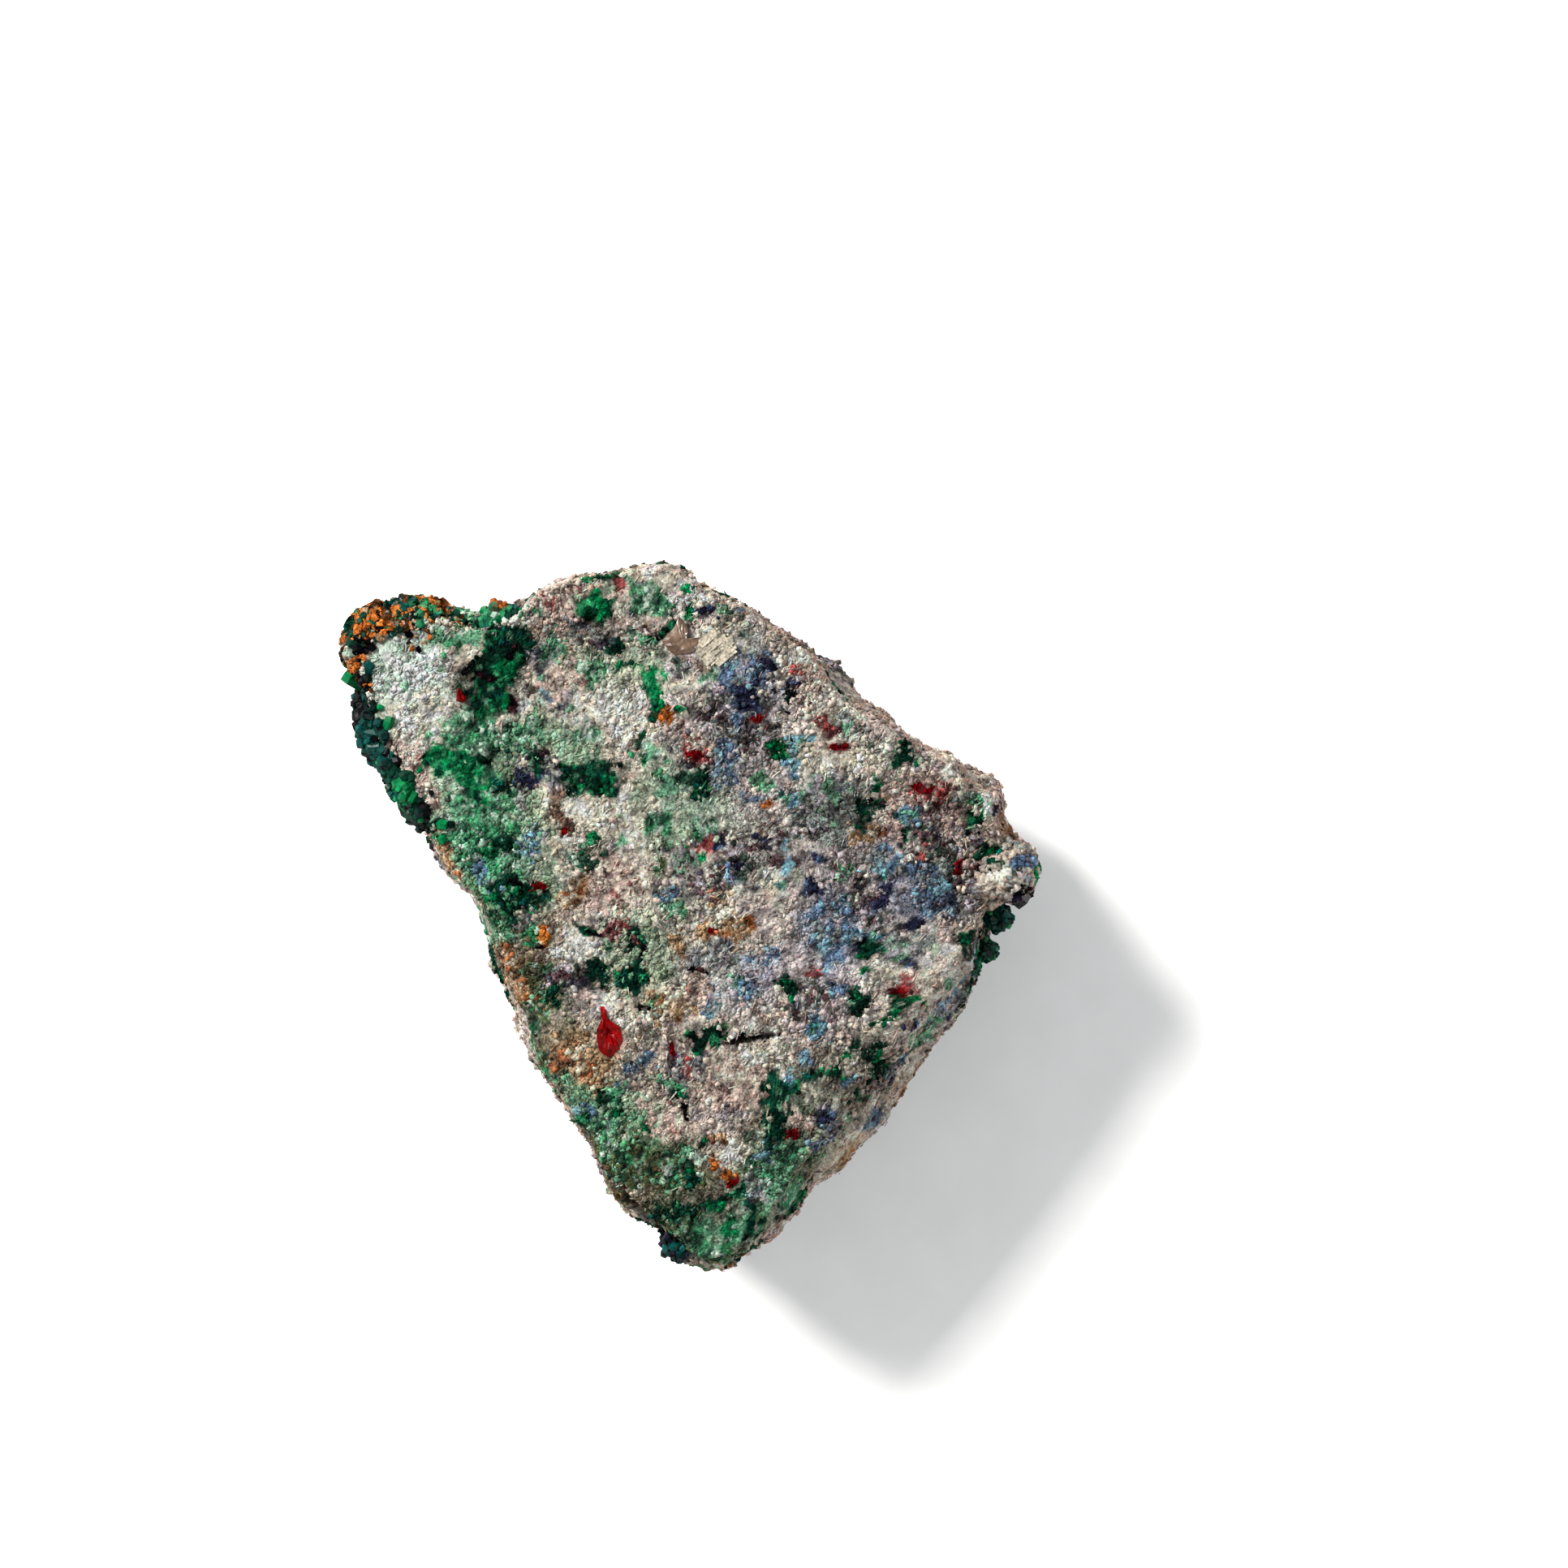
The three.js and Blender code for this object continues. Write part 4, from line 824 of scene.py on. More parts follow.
        (-4.0, 15.7, 0.3, 0.5, 0, 0.85), (-0.5, 18.0, 0.8, 0.3, 0, 0.85), (-8.5, 6.6, 0.8, 0.6, 0, 0.9),
        (-18.2, 11.2, 0.8, 1.5, 30, 0.7), (0.8, 5.3, 0.6, 0.4, 0, 0.8), (17.0, 3.8, 0.5, 0.5, 0, 0.8),
        (19.4, -7.0, 1.4, 0.4, 12, 0.98), (17.0, -8.7, 1.5, 0.5, 35, 0.98),
        (-3.5, -17.9, 0.6, 0.4, 0, 0.95), (15.9, 11.4, 0.4, 0.6, 0, 0.9), (-17.6, 5.6, 1.0, 0.7, 0, 0.6),
        (3.4, -26.8, 1.0, 0.8, 0, 0.7),
    ],
    "rust": [
        (-1.8, 17.7, 0.5, 0.9, 0, 0.98), (-12.4, -1.4, 0.4, 0.8, 0, 0.9), (5.6, -0.4, 0.5, 0.5, 0, 0.85),
        (2.2, -20.8, 0.4, 0.5, 0, 0.85), (3.3, -22.1, 0.6, 0.4, 0, 0.9), (-13.9, -6.5, 0.8, 0.4, -30, 0.7),
        (3.6, -1.6, 0.9, 0.5, 0, 0.5), (7.0, 10.1, 0.6, 0.3, 0, 0.6),
    ],
    "red": [
        (-12.8, 2.7, 0.45, 0.6, 0, 0.98), (12.6, 14.9, 0.8, 0.45, -20, 0.9),
        (5.8, 17.4, 0.4, 0.35, 0, 0.95), (0.4, 14.6, 0.5, 0.4, 0, 0.9), (18.3, -6.5, 0.8, 0.4, 25, 0.9),
        (3.9, -22.6, 0.7, 0.4, 0, 0.98), (-1.3, -11.2, 0.45, 0.9, 0, 0.98), (23.4, 4.6, 0.5, 0.4, 0, 0.9),
        (8.8, -18.3, 0.7, 0.4, 0, 0.9), (2.1, -0.9, 0.35, 0.3, 0, 0.9), (20.4, 11.5, 0.8, 0.4, 0, 0.8),
        (-10.5, 7.8, 0.25, 0.25, 0, 0.9),
    ],
    "black": [
        (-17.6, 20.9, 1.2, 0.5, 0, 0.98), (-15.4, 18.5, 0.5, 0.8, 0, 0.98), (-15.6, 23.3, 0.7, 0.5, 0, 0.9),
        (-14.8, 3.2, 0.9, 0.6, -15, 0.98), (8.8, 19.2, 0.5, 0.4, 0, 0.98), (-0.4, -16.6, 0.3, 0.7, 0, 0.98),
        (-4.2, -3.0, 0.3, 0.6, 0, 0.95), (14.3, -2.2, 0.4, 0.5, 0, 0.95), (16.2, 10.3, 1.2, 0.3, -5, 0.9),
        (0.7, -4.5, 0.9, 0.25, -10, 0.9), (-4.2, -7.8, 0.7, 0.6, 0, 0.8), (5.2, -10.2, 1.3, 0.3, 5, 0.9),
        (25.0, 4.5, 0.3, 0.3, 0, 0.95), (-12.7, -2.3, 0.4, 0.3, 0, 0.9), (-7.6, -1.4, 0.6, 0.3, -20, 0.9),
    ],
}
# Wide faint tints between the crystals, the olive and deep green ones darkening the lower and left
# parts of the face: mineral, middle in plan, half length, half width, turn, share.
HAZES = [
    ("sage", -18.4, 9.0, 8.5, 4.4, 80, 0.7), ("green", -15.6, 5.0, 7.0, 4.0, 100, 0.5),
    ("deep_green", -16.4, 21.0, 4.8, 3.2, 75, 0.6), ("deep_green", -15.4, 1.0, 3.6, 3.0, 100, 0.55),
    ("olive", -3.4, -21.8, 6.0, 4.8, -50, 0.75), ("deep_green", 0.4, -26.8, 5.8, 3.8, 0, 0.6),
    ("olive", -12.6, -8.5, 8.0, 2.6, -62, 0.6), ("deep_green", -14.6, -7.6, 5.0, 1.5, -66, 0.5),
    ("deep_green", -10.0, -16.2, 4.6, 1.6, -58, 0.55), ("sage", -6.0, -16.4, 5.0, 2.4, -20, 0.5),
    ("lilac", 14.2, 1.6, 8.0, 6.0, 0, 0.4), ("blue", 20.4, 2.4, 3.8, 2.8, 0, 0.45),
    ("blue", 12.2, -0.8, 3.6, 2.6, 90, 0.5), ("blue", 4.6, 18.2, 6.0, 2.8, 80, 0.4),
    ("grey", 11.6, 9.4, 4.0, 3.0, 0, 0.5), ("lilac", 4.0, 14.0, 6.0, 6.0, 0, 0.4),
    ("green", 8.6, -21.2, 5.8, 4.2, 60, 0.55), ("deep_green", 7.0, -16.0, 3.4, 3.4, 0, 0.4),
    ("deep_green", 13.2, -13.6, 5.4, 3.2, 20, 0.45), ("rose", 21.2, 9.2, 4.4, 3.6, 0, 0.26),
    ("grey", 3.4, 5.0, 4.8, 4.2, 0, 0.3), ("umber", -12.8, -2.6, 3.2, 3.0, 0, 0.45),
    ("sage", -11.6, 14.0, 4.8, 3.0, -30, 0.5), ("sage", -7.4, 22.0, 4.4, 2.2, 0, 0.35),
    ("rose", -10.4, 25.8, 3.0, 2.4, 0, 0.2), ("blue", 3.6, -5.0, 4.4, 3.0, 0, 0.4),
    ("lilac", 10.0, -6.0, 6.0, 4.0, 0, 0.35), ("green", -4.6, -3.6, 3.4, 3.6, 0, 0.35),
    ("ochre", -9.0, -12.0, 3.4, 2.4, 0, 0.4), ("plum", 22.6, 4.6, 4.4, 4.4, 0, 0.22),
    ("sage", -25.6, 17.6, 1.8, 1.4, 0, 0.4), ("sage", -0.6, 10.0, 4.0, 4.4, 0, 0.4),
    ("mint", -24.0, 20.6, 3.6, 3.6, 0, 0.5), ("plum", -1.0, -13.0, 3.0, 3.0, 0, 0.25),
]
print("fields in the face:", sum(len(rows) for rows in FACE_FIELDS.values()), "and hazes:", len(HAZES))

# %% Fields strewn on the flanks
STREWN = 380  # random fields on the flanks and the underside
STREWN_MIX = {"pale": 14, "pink": 12, "grey": 8, "speckled": 14, "blue": 8, "navy": 4, "green": 16,
              "dark": 12, "bright": 4, "ochre": 8, "olive": 8, "black": 3, "rust": 3, "rose": 3, "mint": 3}
SMALL_FIELDS = ("black", "rust", "rose", "bright", "navy")


def strewn_fields():
    """Random ovals whose middles lie on the flanks and the underside, kept by field."""
    rng = np.random.default_rng(8)
    low_side = np.flatnonzero(rock_row > 1.0)
    shares = np.array(list(STREWN_MIX.values()), float)
    fields = {name: [] for name in FACE_FIELDS}
    for kind in rng.choice(list(STREWN_MIX), STREWN, p=shares / shares.sum()):
        half = rng.uniform(0.5, 1.6, 3) if kind in SMALL_FIELDS else rng.uniform(1.0, 4.2, 3)
        middle = rock_points[rng.choice(low_side)]
        fields[kind].append((middle, half, rng.uniform(0, 180), rng.uniform(0.6, 0.95)))
    return fields


STREWN_FIELDS = strewn_fields()
print("fields strewn:", {name: len(rows) for name, rows in STREWN_FIELDS.items()})

# %% How full of a stain a place is
# Around each crust its ore stains the rock: mineral, how far out in crust widths, and how strongly.
HALOS = {
    "dioptase_crust": ("deep_green", 1.5, 0.75), "limonite_crust": ("rust", 1.5, 0.6),
    "dioptase_rim": ("green", 1.7, 0.6), "azurite_knob": ("grey", 1.5, 0.5),
    "dioptase_patch_upper": ("deep_green", 1.8, 0.8), "dioptase_patch_lower": ("deep_green", 1.8, 0.8),
    "dioptase_tip": ("deep_green", 1.8, 0.7),
}
ROW_HEIGHT = 20.0  # one row of the flank in mm
OVAL_RIM = 1.4  # an oval's stain is gone at this many half lengths from its middle
OVAL_FADE = 1.5


def oval_share(points, warp, middle, half, turn, full):
    """How full an oval is at each point, falling smoothly to nothing at its rim; warp shifts each
    point first."""
    turn = np.radians(turn)
    away = points + warp - middle
    along = away[:, 0] * np.cos(turn) + away[:, 1] * np.sin(turn)
    across = away[:, 1] * np.cos(turn) - away[:, 0] * np.sin(turn)
    reach = np.sqrt((along / half[0]) ** 2 + (across / half[1]) ** 2 + (away[:, 2] / half[2]) ** 2)
    return full * smooth(OVAL_FADE * (OVAL_RIM - reach))


def halo_share(points, crust, reach):
    """How near each point is to a crust, from 1 on it to 0 at its halo's rim: an oval round its middle
    that lies along the edge of the rock."""
    at, row, along, down, _, _ = crust
    middle, ahead = rock_point(np.array([at, at + SHARE_STEP]), np.array([row, row]))
    ahead = (ahead - middle) / np.linalg.norm(ahead - middle)
    away = points - middle
    beside = (away @ ahead) / along
    above = away[:, 2] / (down * ROW_HEIGHT)
    near_in_plan = smooth(2 - np.linalg.norm(away[:, :2], axis=1) / (along + 3))
    return smooth(2 * (reach - np.hypot(beside, above))) * near_in_plan


print("crusts with a halo:", len(HALOS))

# %% Tints of single crystals
CRYSTAL = 0.42  # width of one crystal of ore, mm
COARSE_CRYSTAL = 2.4  # some places hold crystals this many times as wide
DRAWN = 0.78  # how far a crystal's own tint differs from the mean of its mix


def drawn(numbers, mix):
    """For each number in 0..1, the colour of one of the mix's minerals, by their shares, drawn part of
    the way to the mean of the mix."""
    steps = np.cumsum(list(mix.values())) / sum(mix.values())
    table = np.array([MINERAL[name] for name in mix])
    even = np.array(list(mix.values())) @ table / sum(mix.values())
    own = table[np.minimum(np.searchsorted(steps, numbers), len(table) - 1)]
    return DRAWN * own + (1 - DRAWN) * even


def reshuffled(number, factor):
    """Another number in 0..1 for each crystal, made from the first."""
    return (number * factor) % 1


def laid_over(colour, other, share):
    """A colour with another laid over it by a share for each point."""
    share = share[:, None]
    return colour * (1 - share) + other * share


def wandering(points, size, seed):
    """Three noises in -0.5..0.5, which shift each point and so make the borders ragged."""
    return np.stack([noise(points, size, seed + k) for k in range(3)], axis=1) - 0.5


print("two crystals of a green field:", drawn(np.array([0.3, 0.7]), FIELD_MIX["green"]).round(2).tolist())

# %% Ground, hazes and halos
EVEN_GROUND = 0.38  # how much of the ground is one even colour; each crystal's own tint is the rest
HAZE_DEPTH = 6.0
GROUND_NOISE = (2.2, 0.75)  # steepness, and what is taken off, so the pink and the cool lie in patches


def ground_colours(points, number):
    """Cream that turns to pink in places and to lilac in others, with each crystal's own tint."""
    steepness, less = GROUND_NOISE
    pink = smooth(steepness * layered_noise(points, 3.2, 41) - less)
    cool = smooth(steepness * layered_noise(points, 4.1, 43) - less)
    even = laid_over(laid_over(MINERAL["cream"], MINERAL["pinkish"], pink), MINERAL["lilac"], 0.5 * cool)
    return EVEN_GROUND * even + (1 - EVEN_GROUND) * drawn(number, GROUND_MIX)


def with_hazes(colour, points, number, wide, patches, on_face):
    """The hazes of the face, each stronger on some crystals than on others."""
    uneven = 0.4 + 0.6 * reshuffled(number, 23.9) + 0.6 * patches
    for name, x, y, along, across, turn, share in HAZES:
        middle = np.array([x, y, face_height(np.array([x, y]))])
        haze = oval_share(points, 2.0 * wide, middle, (along, across, HAZE_DEPTH), turn, share)
        colour = laid_over(colour, MINERAL[name], np.clip(haze * on_face * uneven, 0, 1))
    return colour


def with_halos(colour, points, patches, on_face):
    """The crusts' halos, off the face only."""
    for name, (mineral, reach, share) in HALOS.items():
        halo = share * halo_share(points, CRUSTS[name], reach) * (1 - on_face) * (0.3 + 0.9 * patches)
        colour = laid_over(colour, MINERAL[mineral], np.clip(halo, 0, 1))
    return colour


print("ground in the face's middle:", ground_colours(face_middle, np.array([0.5])).round(2))

# %% Fields and tone
def field_share(points, name, small, wide, on_face):
    """How full of a field each point is: the placed ovals on the face, the strewn ones elsewhere. Ovals
    that overlap fill a place by the product of what each leaves empty."""
    miss = np.ones(len(points))
    for x, y, along, across, turn, full in FACE_FIELDS[name]:
        shift = small * min(1.7, 0.9 * (along + across)) + wide * min(1.6, 0.6 * (along + across))
        middle = np.array([x, y, 0.0])
        middle[2] = face_height(middle[:2])
        deep = 1.5 + 0.8 * (along + across)
        miss *= 1 - oval_share(points, shift, middle, (along, across, deep), turn, full)
    elsewhere = np.ones(len(points))
    for middle, half, turn, full in STREWN_FIELDS[name]:
        elsewhere *= 1 - oval_share(points, 1.2 * (small + wide), middle, half, turn, full)
    return (1 - miss) * on_face + (1 - elsewhere) * (1 - on_face)


def grain_tones(points, number, seam, brightness):
    """How light each point is: its crystal's own luck, noise at two sizes and painted shade at the seam. Dark
    minerals vary more than bright ones."""
    tone = (0.78 + 0.44 * reshuffled(number, 9.7)) * (0.2 + 1.5 * layered_noise(points, 2.4, 37))
    # painted shade: each crystal darkens toward its seam
    tone = tone * (0.6 + 0.8 * noise(points, 0.7, 39)) * (0.8 + 0.2 * smooth(5 * seam))
    return np.minimum(tone, 1 + 0.35 * (tone - 1)) ** (1.15 - 0.65 * smooth(brightness / 0.45))


print("tone of a dark crystal there:", grain_tones(face_middle, np.ones(1), np.ones(1), np.zeros(1)).round(2))

# %% One colour for each point
LUCK = 0.46  # weight of a crystal's own luck, and of its place's
FAINT = 0.2  # how much a field shows where it isn't struck
BRIGHTEST = 0.43  # no stain reflects more of the light than this


def mineral_colours(points):
    """A colour for each point. The crystal it lies in has a number of its own, which draws one tint
    from the ground's mix and one from each field's. A field's tint lies over what is under it where
    the field's share is more than the luck of the crystal and its place."""
    small, wide = wandering(points, 0.9, 60), wandering(points, 2.6, 70)
    seam, number = grain_cells(points, CRYSTAL, 31)
    coarse = grain_cells(points, COARSE_CRYSTAL * CRYSTAL, 33)[1]
    number = np.where(noise(points, 1.7, 35) > 0.5, number, coarse)
    patches = [smooth(0.5 + 2.4 * (layered_noise(points, 1.5, 900 + 31 * k) - 0.5)) for k in range(4)]
    on_face = smooth(1.4 - (face_height(points[:, :2]) - points[:, 2]) / 3.0)
    colour = ground_colours(points, number)
    colour = with_hazes(colour, points, number, wide, patches[2], on_face)
    colour = with_halos(colour, points, patches[1], on_face)
    for k, name in enumerate(FACE_FIELDS):
        found = field_share(points, name, small, wide, on_face)
        luck = LUCK * reshuffled(number, 17.3 + 7.1 * k) + LUCK * patches[k % 4]
        struck = smooth(5 * (found - luck) + 0.5) * smooth(6 * found)
        tint = drawn(reshuffled(number, 5.9 + 3.7 * k), FIELD_MIX[name])
        colour = laid_over(colour, tint, struck + FAINT * found * (1 - struck))
    tone = grain_tones(points, number, seam, colour.mean(axis=1))
    return np.clip(colour * tone[:, None], 0, BRIGHTEST)


print("colour in the face's middle:", mineral_colours(face_middle).round(2))

# %% Stain and painted shade of the rock's skin
# painted shade: the skin between the loose grains is darkened as if they shaded it, and the cracks are
# darkened too
ROCK_PAINTED_SHADE = 0.82  # the skin between the loose grains lies in their shade
CRACK_SHADE = 0.75

rock_stain_and_shade = mineral_colours(rock_points) * ROCK_PAINTED_SHADE
rock_stain_and_shade *= (1 - CRACK_SHADE * smooth(crack_depth(rock_base) * 2))[:, None]
print("mean stain of the rock:", rock_stain_and_shade.mean(axis=0).round(3))

# %% [markdown]
# ## The rock's finish
#
# Broken quartz is cloudy: light goes a little way in, and no grain mirrors much of the bright sky.
# The stain attribute gives the mineral, a fine noise varies it inside each grain, and a cellular
# pattern paints shade into the seams and tilts the surface, so the ground between the loose grains is as
# broken as they are. Streaks along the needles' way are painted lighter as glints. Patterns read object
# coordinates, which are metres, so a grain of half a millimetre needs a scale of two thousand.

# %% Materials and their nodes
def new_material(name, **values):
    """A material whose shader has these values on its own sockets."""
    material = bpy.data.materials.new(name)
    material.use_nodes = True
    shader = material.node_tree.nodes["Principled BSDF"]
    for socket, value in values.items():
        shader.inputs[socket.replace("_", " ")].default_value = value
    return material, material.node_tree, shader


def add_node(tree, kind, sources=(), **settings):
    """A node with its settings; sources maps its input sockets to outputs or values."""
    node = tree.nodes.new(kind)
    for key, value in settings.items():
        setattr(node, key, value)
    for key, source in dict(sources).items():
        if isinstance(source, bpy.types.NodeSocket):
            tree.links.new(source, node.inputs[key])
        else:
            node.inputs[key].default_value = source
    return node


def scaled(tree, value, low, high, new_low, new_high):
    """A value mapped from one range to another."""
    node = add_node(tree, "ShaderNodeMapRange", {0: value, 1: low, 2: high, 3: new_low, 4: new_high})
    return node.outputs[0]


def multiplied(tree, colour, grey):
    """A colour darkened or lightened by a grey value."""
    node = add_node(tree, "ShaderNodeVectorMath", {0: colour, 1: grey}, operation="MULTIPLY")
    return node.outputs[0]


print("materials so far:", len(bpy.data.materials))

# %% Patterns on object coordinates
NEEDLE_TURN = np.radians(52)  # most needles lie along this way of the face
SEAM_BEND = 0.5  # in grain widths
NOISE_RANGE = (0.3, 0.7)  # most of a noise lies between these


def noise_node(tree, grain_mm, detail=3.0, stretch=None):
    """Smooth noise on object coordinates with grains of that size in millimetres. With a stretch the
    grains are that many times as long as wide, along the way the needles lie."""
    place = add_node(tree, "ShaderNodeTexCoord").outputs["Object"]
    if stretch:
        turn = {"Vector": place, "Rotation": (0, 0, -NEEDLE_TURN)}
        turned = add_node(tree, "ShaderNodeMapping", turn).outputs[0]
        squeeze = {"Vector": turned, "Scale": (1 / stretch, 1, 1)}
        place = add_node(tree, "ShaderNodeMapping", squeeze).outputs[0]
    grains = {"Vector": place, "Scale": 1 / (grain_mm * MM), "Detail": detail}
    return add_node(tree, "ShaderNodeTexNoise", grains).outputs[0]


def seam_node(tree, grain_mm):
    """How far a place is from the seams of a cellular pattern with grains of that size. Noise shifts the
    places first, so no seam is straight."""
    place = add_node(tree, "ShaderNodeTexCoord").outputs["Object"]
    shift = add_node(tree, "ShaderNodeTexNoise",
                     {"Vector": place, "Scale": 2 / (grain_mm * MM), "Detail": 1.0})
    far = add_node(tree, "ShaderNodeVectorMath",
                   {0: shift.outputs["Color"], "Scale": SEAM_BEND * grain_mm * MM}, operation="SCALE")
    bent = add_node(tree, "ShaderNodeVectorMath", {0: place, 1: far.outputs[0]}, operation="ADD")
    node = add_node(tree, "ShaderNodeTexVoronoi", {"Vector": bent.outputs[0], "Scale": 1 / (grain_mm * MM)},
                    feature="DISTANCE_TO_EDGE")
    return node.outputs["Distance"]


print("needles lie at, degrees:", round(np.degrees(NEEDLE_TURN)))

# %% Rock and grain finishes
CLOUD_DEPTH = 0.45  # how far light goes into cloudy quartz, mm
STONE_GLOSS = 0.008  # broken grains hardly mirror the bright sky
# What each pattern does to the tone: the pattern from and to, and the tone from and to.
MOTTLE_TONES = (0.34, 0.62, 0.45, 1.22)
FINE_TONES = (0.28, 0.58, 0.45, 1.15)
# painted shade: the seams between the grains are darkened
PAINTED_SEAM_SHADE = (0.0, 0.14, 0.55, 1.0)
# painted highlight: streaks along the needles' way are lightened as glints
PAINTED_GLINT_TONES = (0.58, 0.7, 1.0, 1.25)
# A dark stain has its tone deepened, a pale one has it softened: brightness from and to, power from and to.
TONE_POWERS = (0.03, 0.4, 1.35, 0.6)
ROUGHNESS_SWING = 0.15
STONE_BUMP = 0.8


def add_math(tree, operation, first, second):
    """Two values added, multiplied or raised, as the operation says."""
    return add_node(tree, "ShaderNodeMath", {0: first, 1: second}, operation=operation).outputs[0]


def stone_finish(name, seams, roughness, bump_mm, cloudy=0.0):
    """Stained broken stone: the stain, mottled coarse and fine, with painted shade in the seams and painted
    glints in streaks, more deeply where it is dark. Rough in patches and bumpy, and cloudy where light goes a
    little way in."""
    material, tree, shader = new_material(name, Specular_IOR_Level=STONE_GLOSS, Subsurface_Weight=cloudy,
                                          Subsurface_Scale=CLOUD_DEPTH * MM)
    stain = add_node(tree, "ShaderNodeAttribute", attribute_name="stain").outputs["Color"]
    mottle = noise_node(tree, 0.9, 4.0)
    fine = noise_node(tree, 0.2, 1.0)
    seam = seam_node(tree, seams)
    glint_streak = noise_node(tree, 0.13, 1.0, 5.0)
    tone = scaled(tree, mottle, *MOTTLE_TONES)
    for other in (scaled(tree, fine, *FINE_TONES), scaled(tree, seam, *PAINTED_SEAM_SHADE),
                  scaled(tree, glint_streak, *PAINTED_GLINT_TONES)):
        tone = add_math(tree, "MULTIPLY", tone, other)
    bright = add_node(tree, "ShaderNodeRGBToBW", {"Color": stain}).outputs[0]
    tone = add_math(tree, "POWER", tone, scaled(tree, bright, *TONE_POWERS))
    tree.links.new(multiplied(tree, stain, tone), shader.inputs["Base Color"])
    rough = scaled(tree, mottle, *NOISE_RANGE, roughness - ROUGHNESS_SWING, roughness + ROUGHNESS_SWING)
    tree.links.new(rough, shader.inputs["Roughness"])
    height = add_math(tree, "ADD", seam, fine)
    bump = add_node(tree, "ShaderNodeBump",
                    {"Height": height, "Strength": STONE_BUMP, "Distance": bump_mm * MM})
    tree.links.new(bump.outputs["Normal"], shader.inputs["Normal"])
    return material


rock_finish = stone_finish("sugary_rock", seams=0.5, roughness=0.6, bump_mm=0.12, cloudy=0.42)
grain_finish = stone_finish("sugar_grains", seams=0.5, roughness=0.5, bump_mm=0.08, cloudy=0.42)
make_piece("rock", rock_points, [rock_quads], rock_finish, ["matrix_rock"], rock_stain_and_shade,
           rounded=True)

# %% [markdown]
# ## Crystals set in the broken face
#
# A few crystals are pieces of their own: three blood-red cuprite grains, a smoky cleavage flake with
# smooth faces and a pale striated block beside it. Grains of rock would cover them, so their
# outlines come first and the loose grains keep out of them.

# %% Outlines of the set-in crystals
SET_IN = {
    "cuprite_large": [(-7.6, -7.4), (-7.1, -7.5), (-6.9, -8.6), (-5.9, -9.2), (-5.6, -10.4), (-6.0, -11.4),
                      (-6.9, -11.9), (-7.7, -11.3), (-7.9, -10.2), (-7.8, -9.3), (-7.5, -8.7)],
    "cuprite_upper": [(-18.6, 22.5), (-18.3, 22.2), (-18.6, 21.5), (-19.2, 21.1), (-19.6, 21.1),
                      (-19.5, 21.6), (-19.0, 22.1)],
    "cuprite_lower": [(-19.8, 20.1), (-19.4, 19.6), (-19.1, 19.1), (-19.3, 18.7), (-19.9, 18.8),
                      (-20.0, 19.3)],
    "smoky_cleavage": [(-0.8, 26.1), (-0.5, 25.9), (0.1, 25.0), (-0.1, 24.3), (0.1, 23.8), (0.7, 24.2),
                       (1.5, 24.4), (1.2, 23.7), (0.3, 23.0), (-1.3, 22.8), (-2.3, 24.0), (-1.2, 25.2)],
    "calcite_cleavage": [(0.9, 24.1), (1.7, 24.7), (2.6, 24.5), (3.6, 23.9), (3.9, 22.9), (3.0, 22.2),
                         (1.8, 22.2), (1.3, 22.8)],
}

print("corners of the outlines:", {name: len(outline) for name, outline in SET_IN.items()})


def inside_outline(plan, outline):
    """Whether each place lies in a closed outline: a line to the right crosses it an odd number of
    times."""
    inside = np.zeros(len(plan), bool)
    corners = np.array(outline)
    for (x0, y0), (x1, y1) in zip(corners, np.roll(corners, -1, axis=0)):
        between = (plan[:, 1] > min(y0, y1)) & (plan[:, 1] <= max(y0, y1))
        cross = x0 + (plan[:, 1] - y0) * (x1 - x0) / ((y1 - y0) or 1e-9)
        inside ^= between & (plan[:, 0] < cross)
    return inside

# %% Places that grains keep out of
UNDER_CRUST = 0.9
ROUND_SET_IN = 1.18  # an outline is grown this much, so no grain leans over it


def in_crust(share, row, crust):
    """Whether a place of the surface lies under a crust: well inside its oval."""
    at, middle_row, along, down, _, _ = crust
    away = (share - at + 0.5) % 1 - 0.5
    reach = (away * EDGE_LENGTH / along) ** 2 + ((row - middle_row) / down) ** 2
    return reach < (OVAL_SHARE * UNDER_CRUST) ** 2


covered = np.zeros(len(rock_points), bool)
for crust in CRUSTS.values():
    covered |= in_crust(rock_share, rock_row, crust)
for outline in SET_IN.values():
    middle = np.mean(outline, axis=0)
    grown = middle + ROUND_SET_IN * (np.array(outline) - middle)
    covered |= inside_outline(rock_points[:, :2], grown) & (rock_row < 1)
print("share of the net that is covered:", covered.mean().round(3))

# %% [markdown]
# ## Loose sugar grains
#
# What makes the stone look like sugar is that each grain is a crystal of its own. A bump pattern
# can't give them edges or shadows, so every grain is a small brick with knocked-about corners,
# half sunk in the surface. All their corners are one array, turned by one array of rotations.

# %% Bricks
BRICK = np.array([(x, y, z) for z in (-1, 1) for y in (-1, 1) for x in (-1, 1)], float)
BRICK_FACES = np.array([(0, 2, 3, 1), (4, 5, 7, 6), (0, 1, 5, 4), (2, 6, 7, 3), (0, 4, 6, 2), (1, 3, 7, 5)])


def random_turns(count, rng):
    """Rotations spread evenly over all ways of turning: each is a unit quaternion made a matrix."""
    w, x, y, z = rng.normal(size=(count, 4)).T
    size = np.sqrt(w * w + x * x + y * y + z * z)
    w, x, y, z = w / size, x / size, y / size, z / size
    rows = [
        [1 - 2 * (y * y + z * z), 2 * (x * y - z * w), 2 * (x * z + y * w)],
        [2 * (x * y + z * w), 1 - 2 * (x * x + z * z), 2 * (y * z - x * w)],
        [2 * (x * z - y * w), 2 * (y * z + x * w), 1 - 2 * (x * x + y * y)],
    ]
    return np.array(rows).transpose(2, 0, 1)


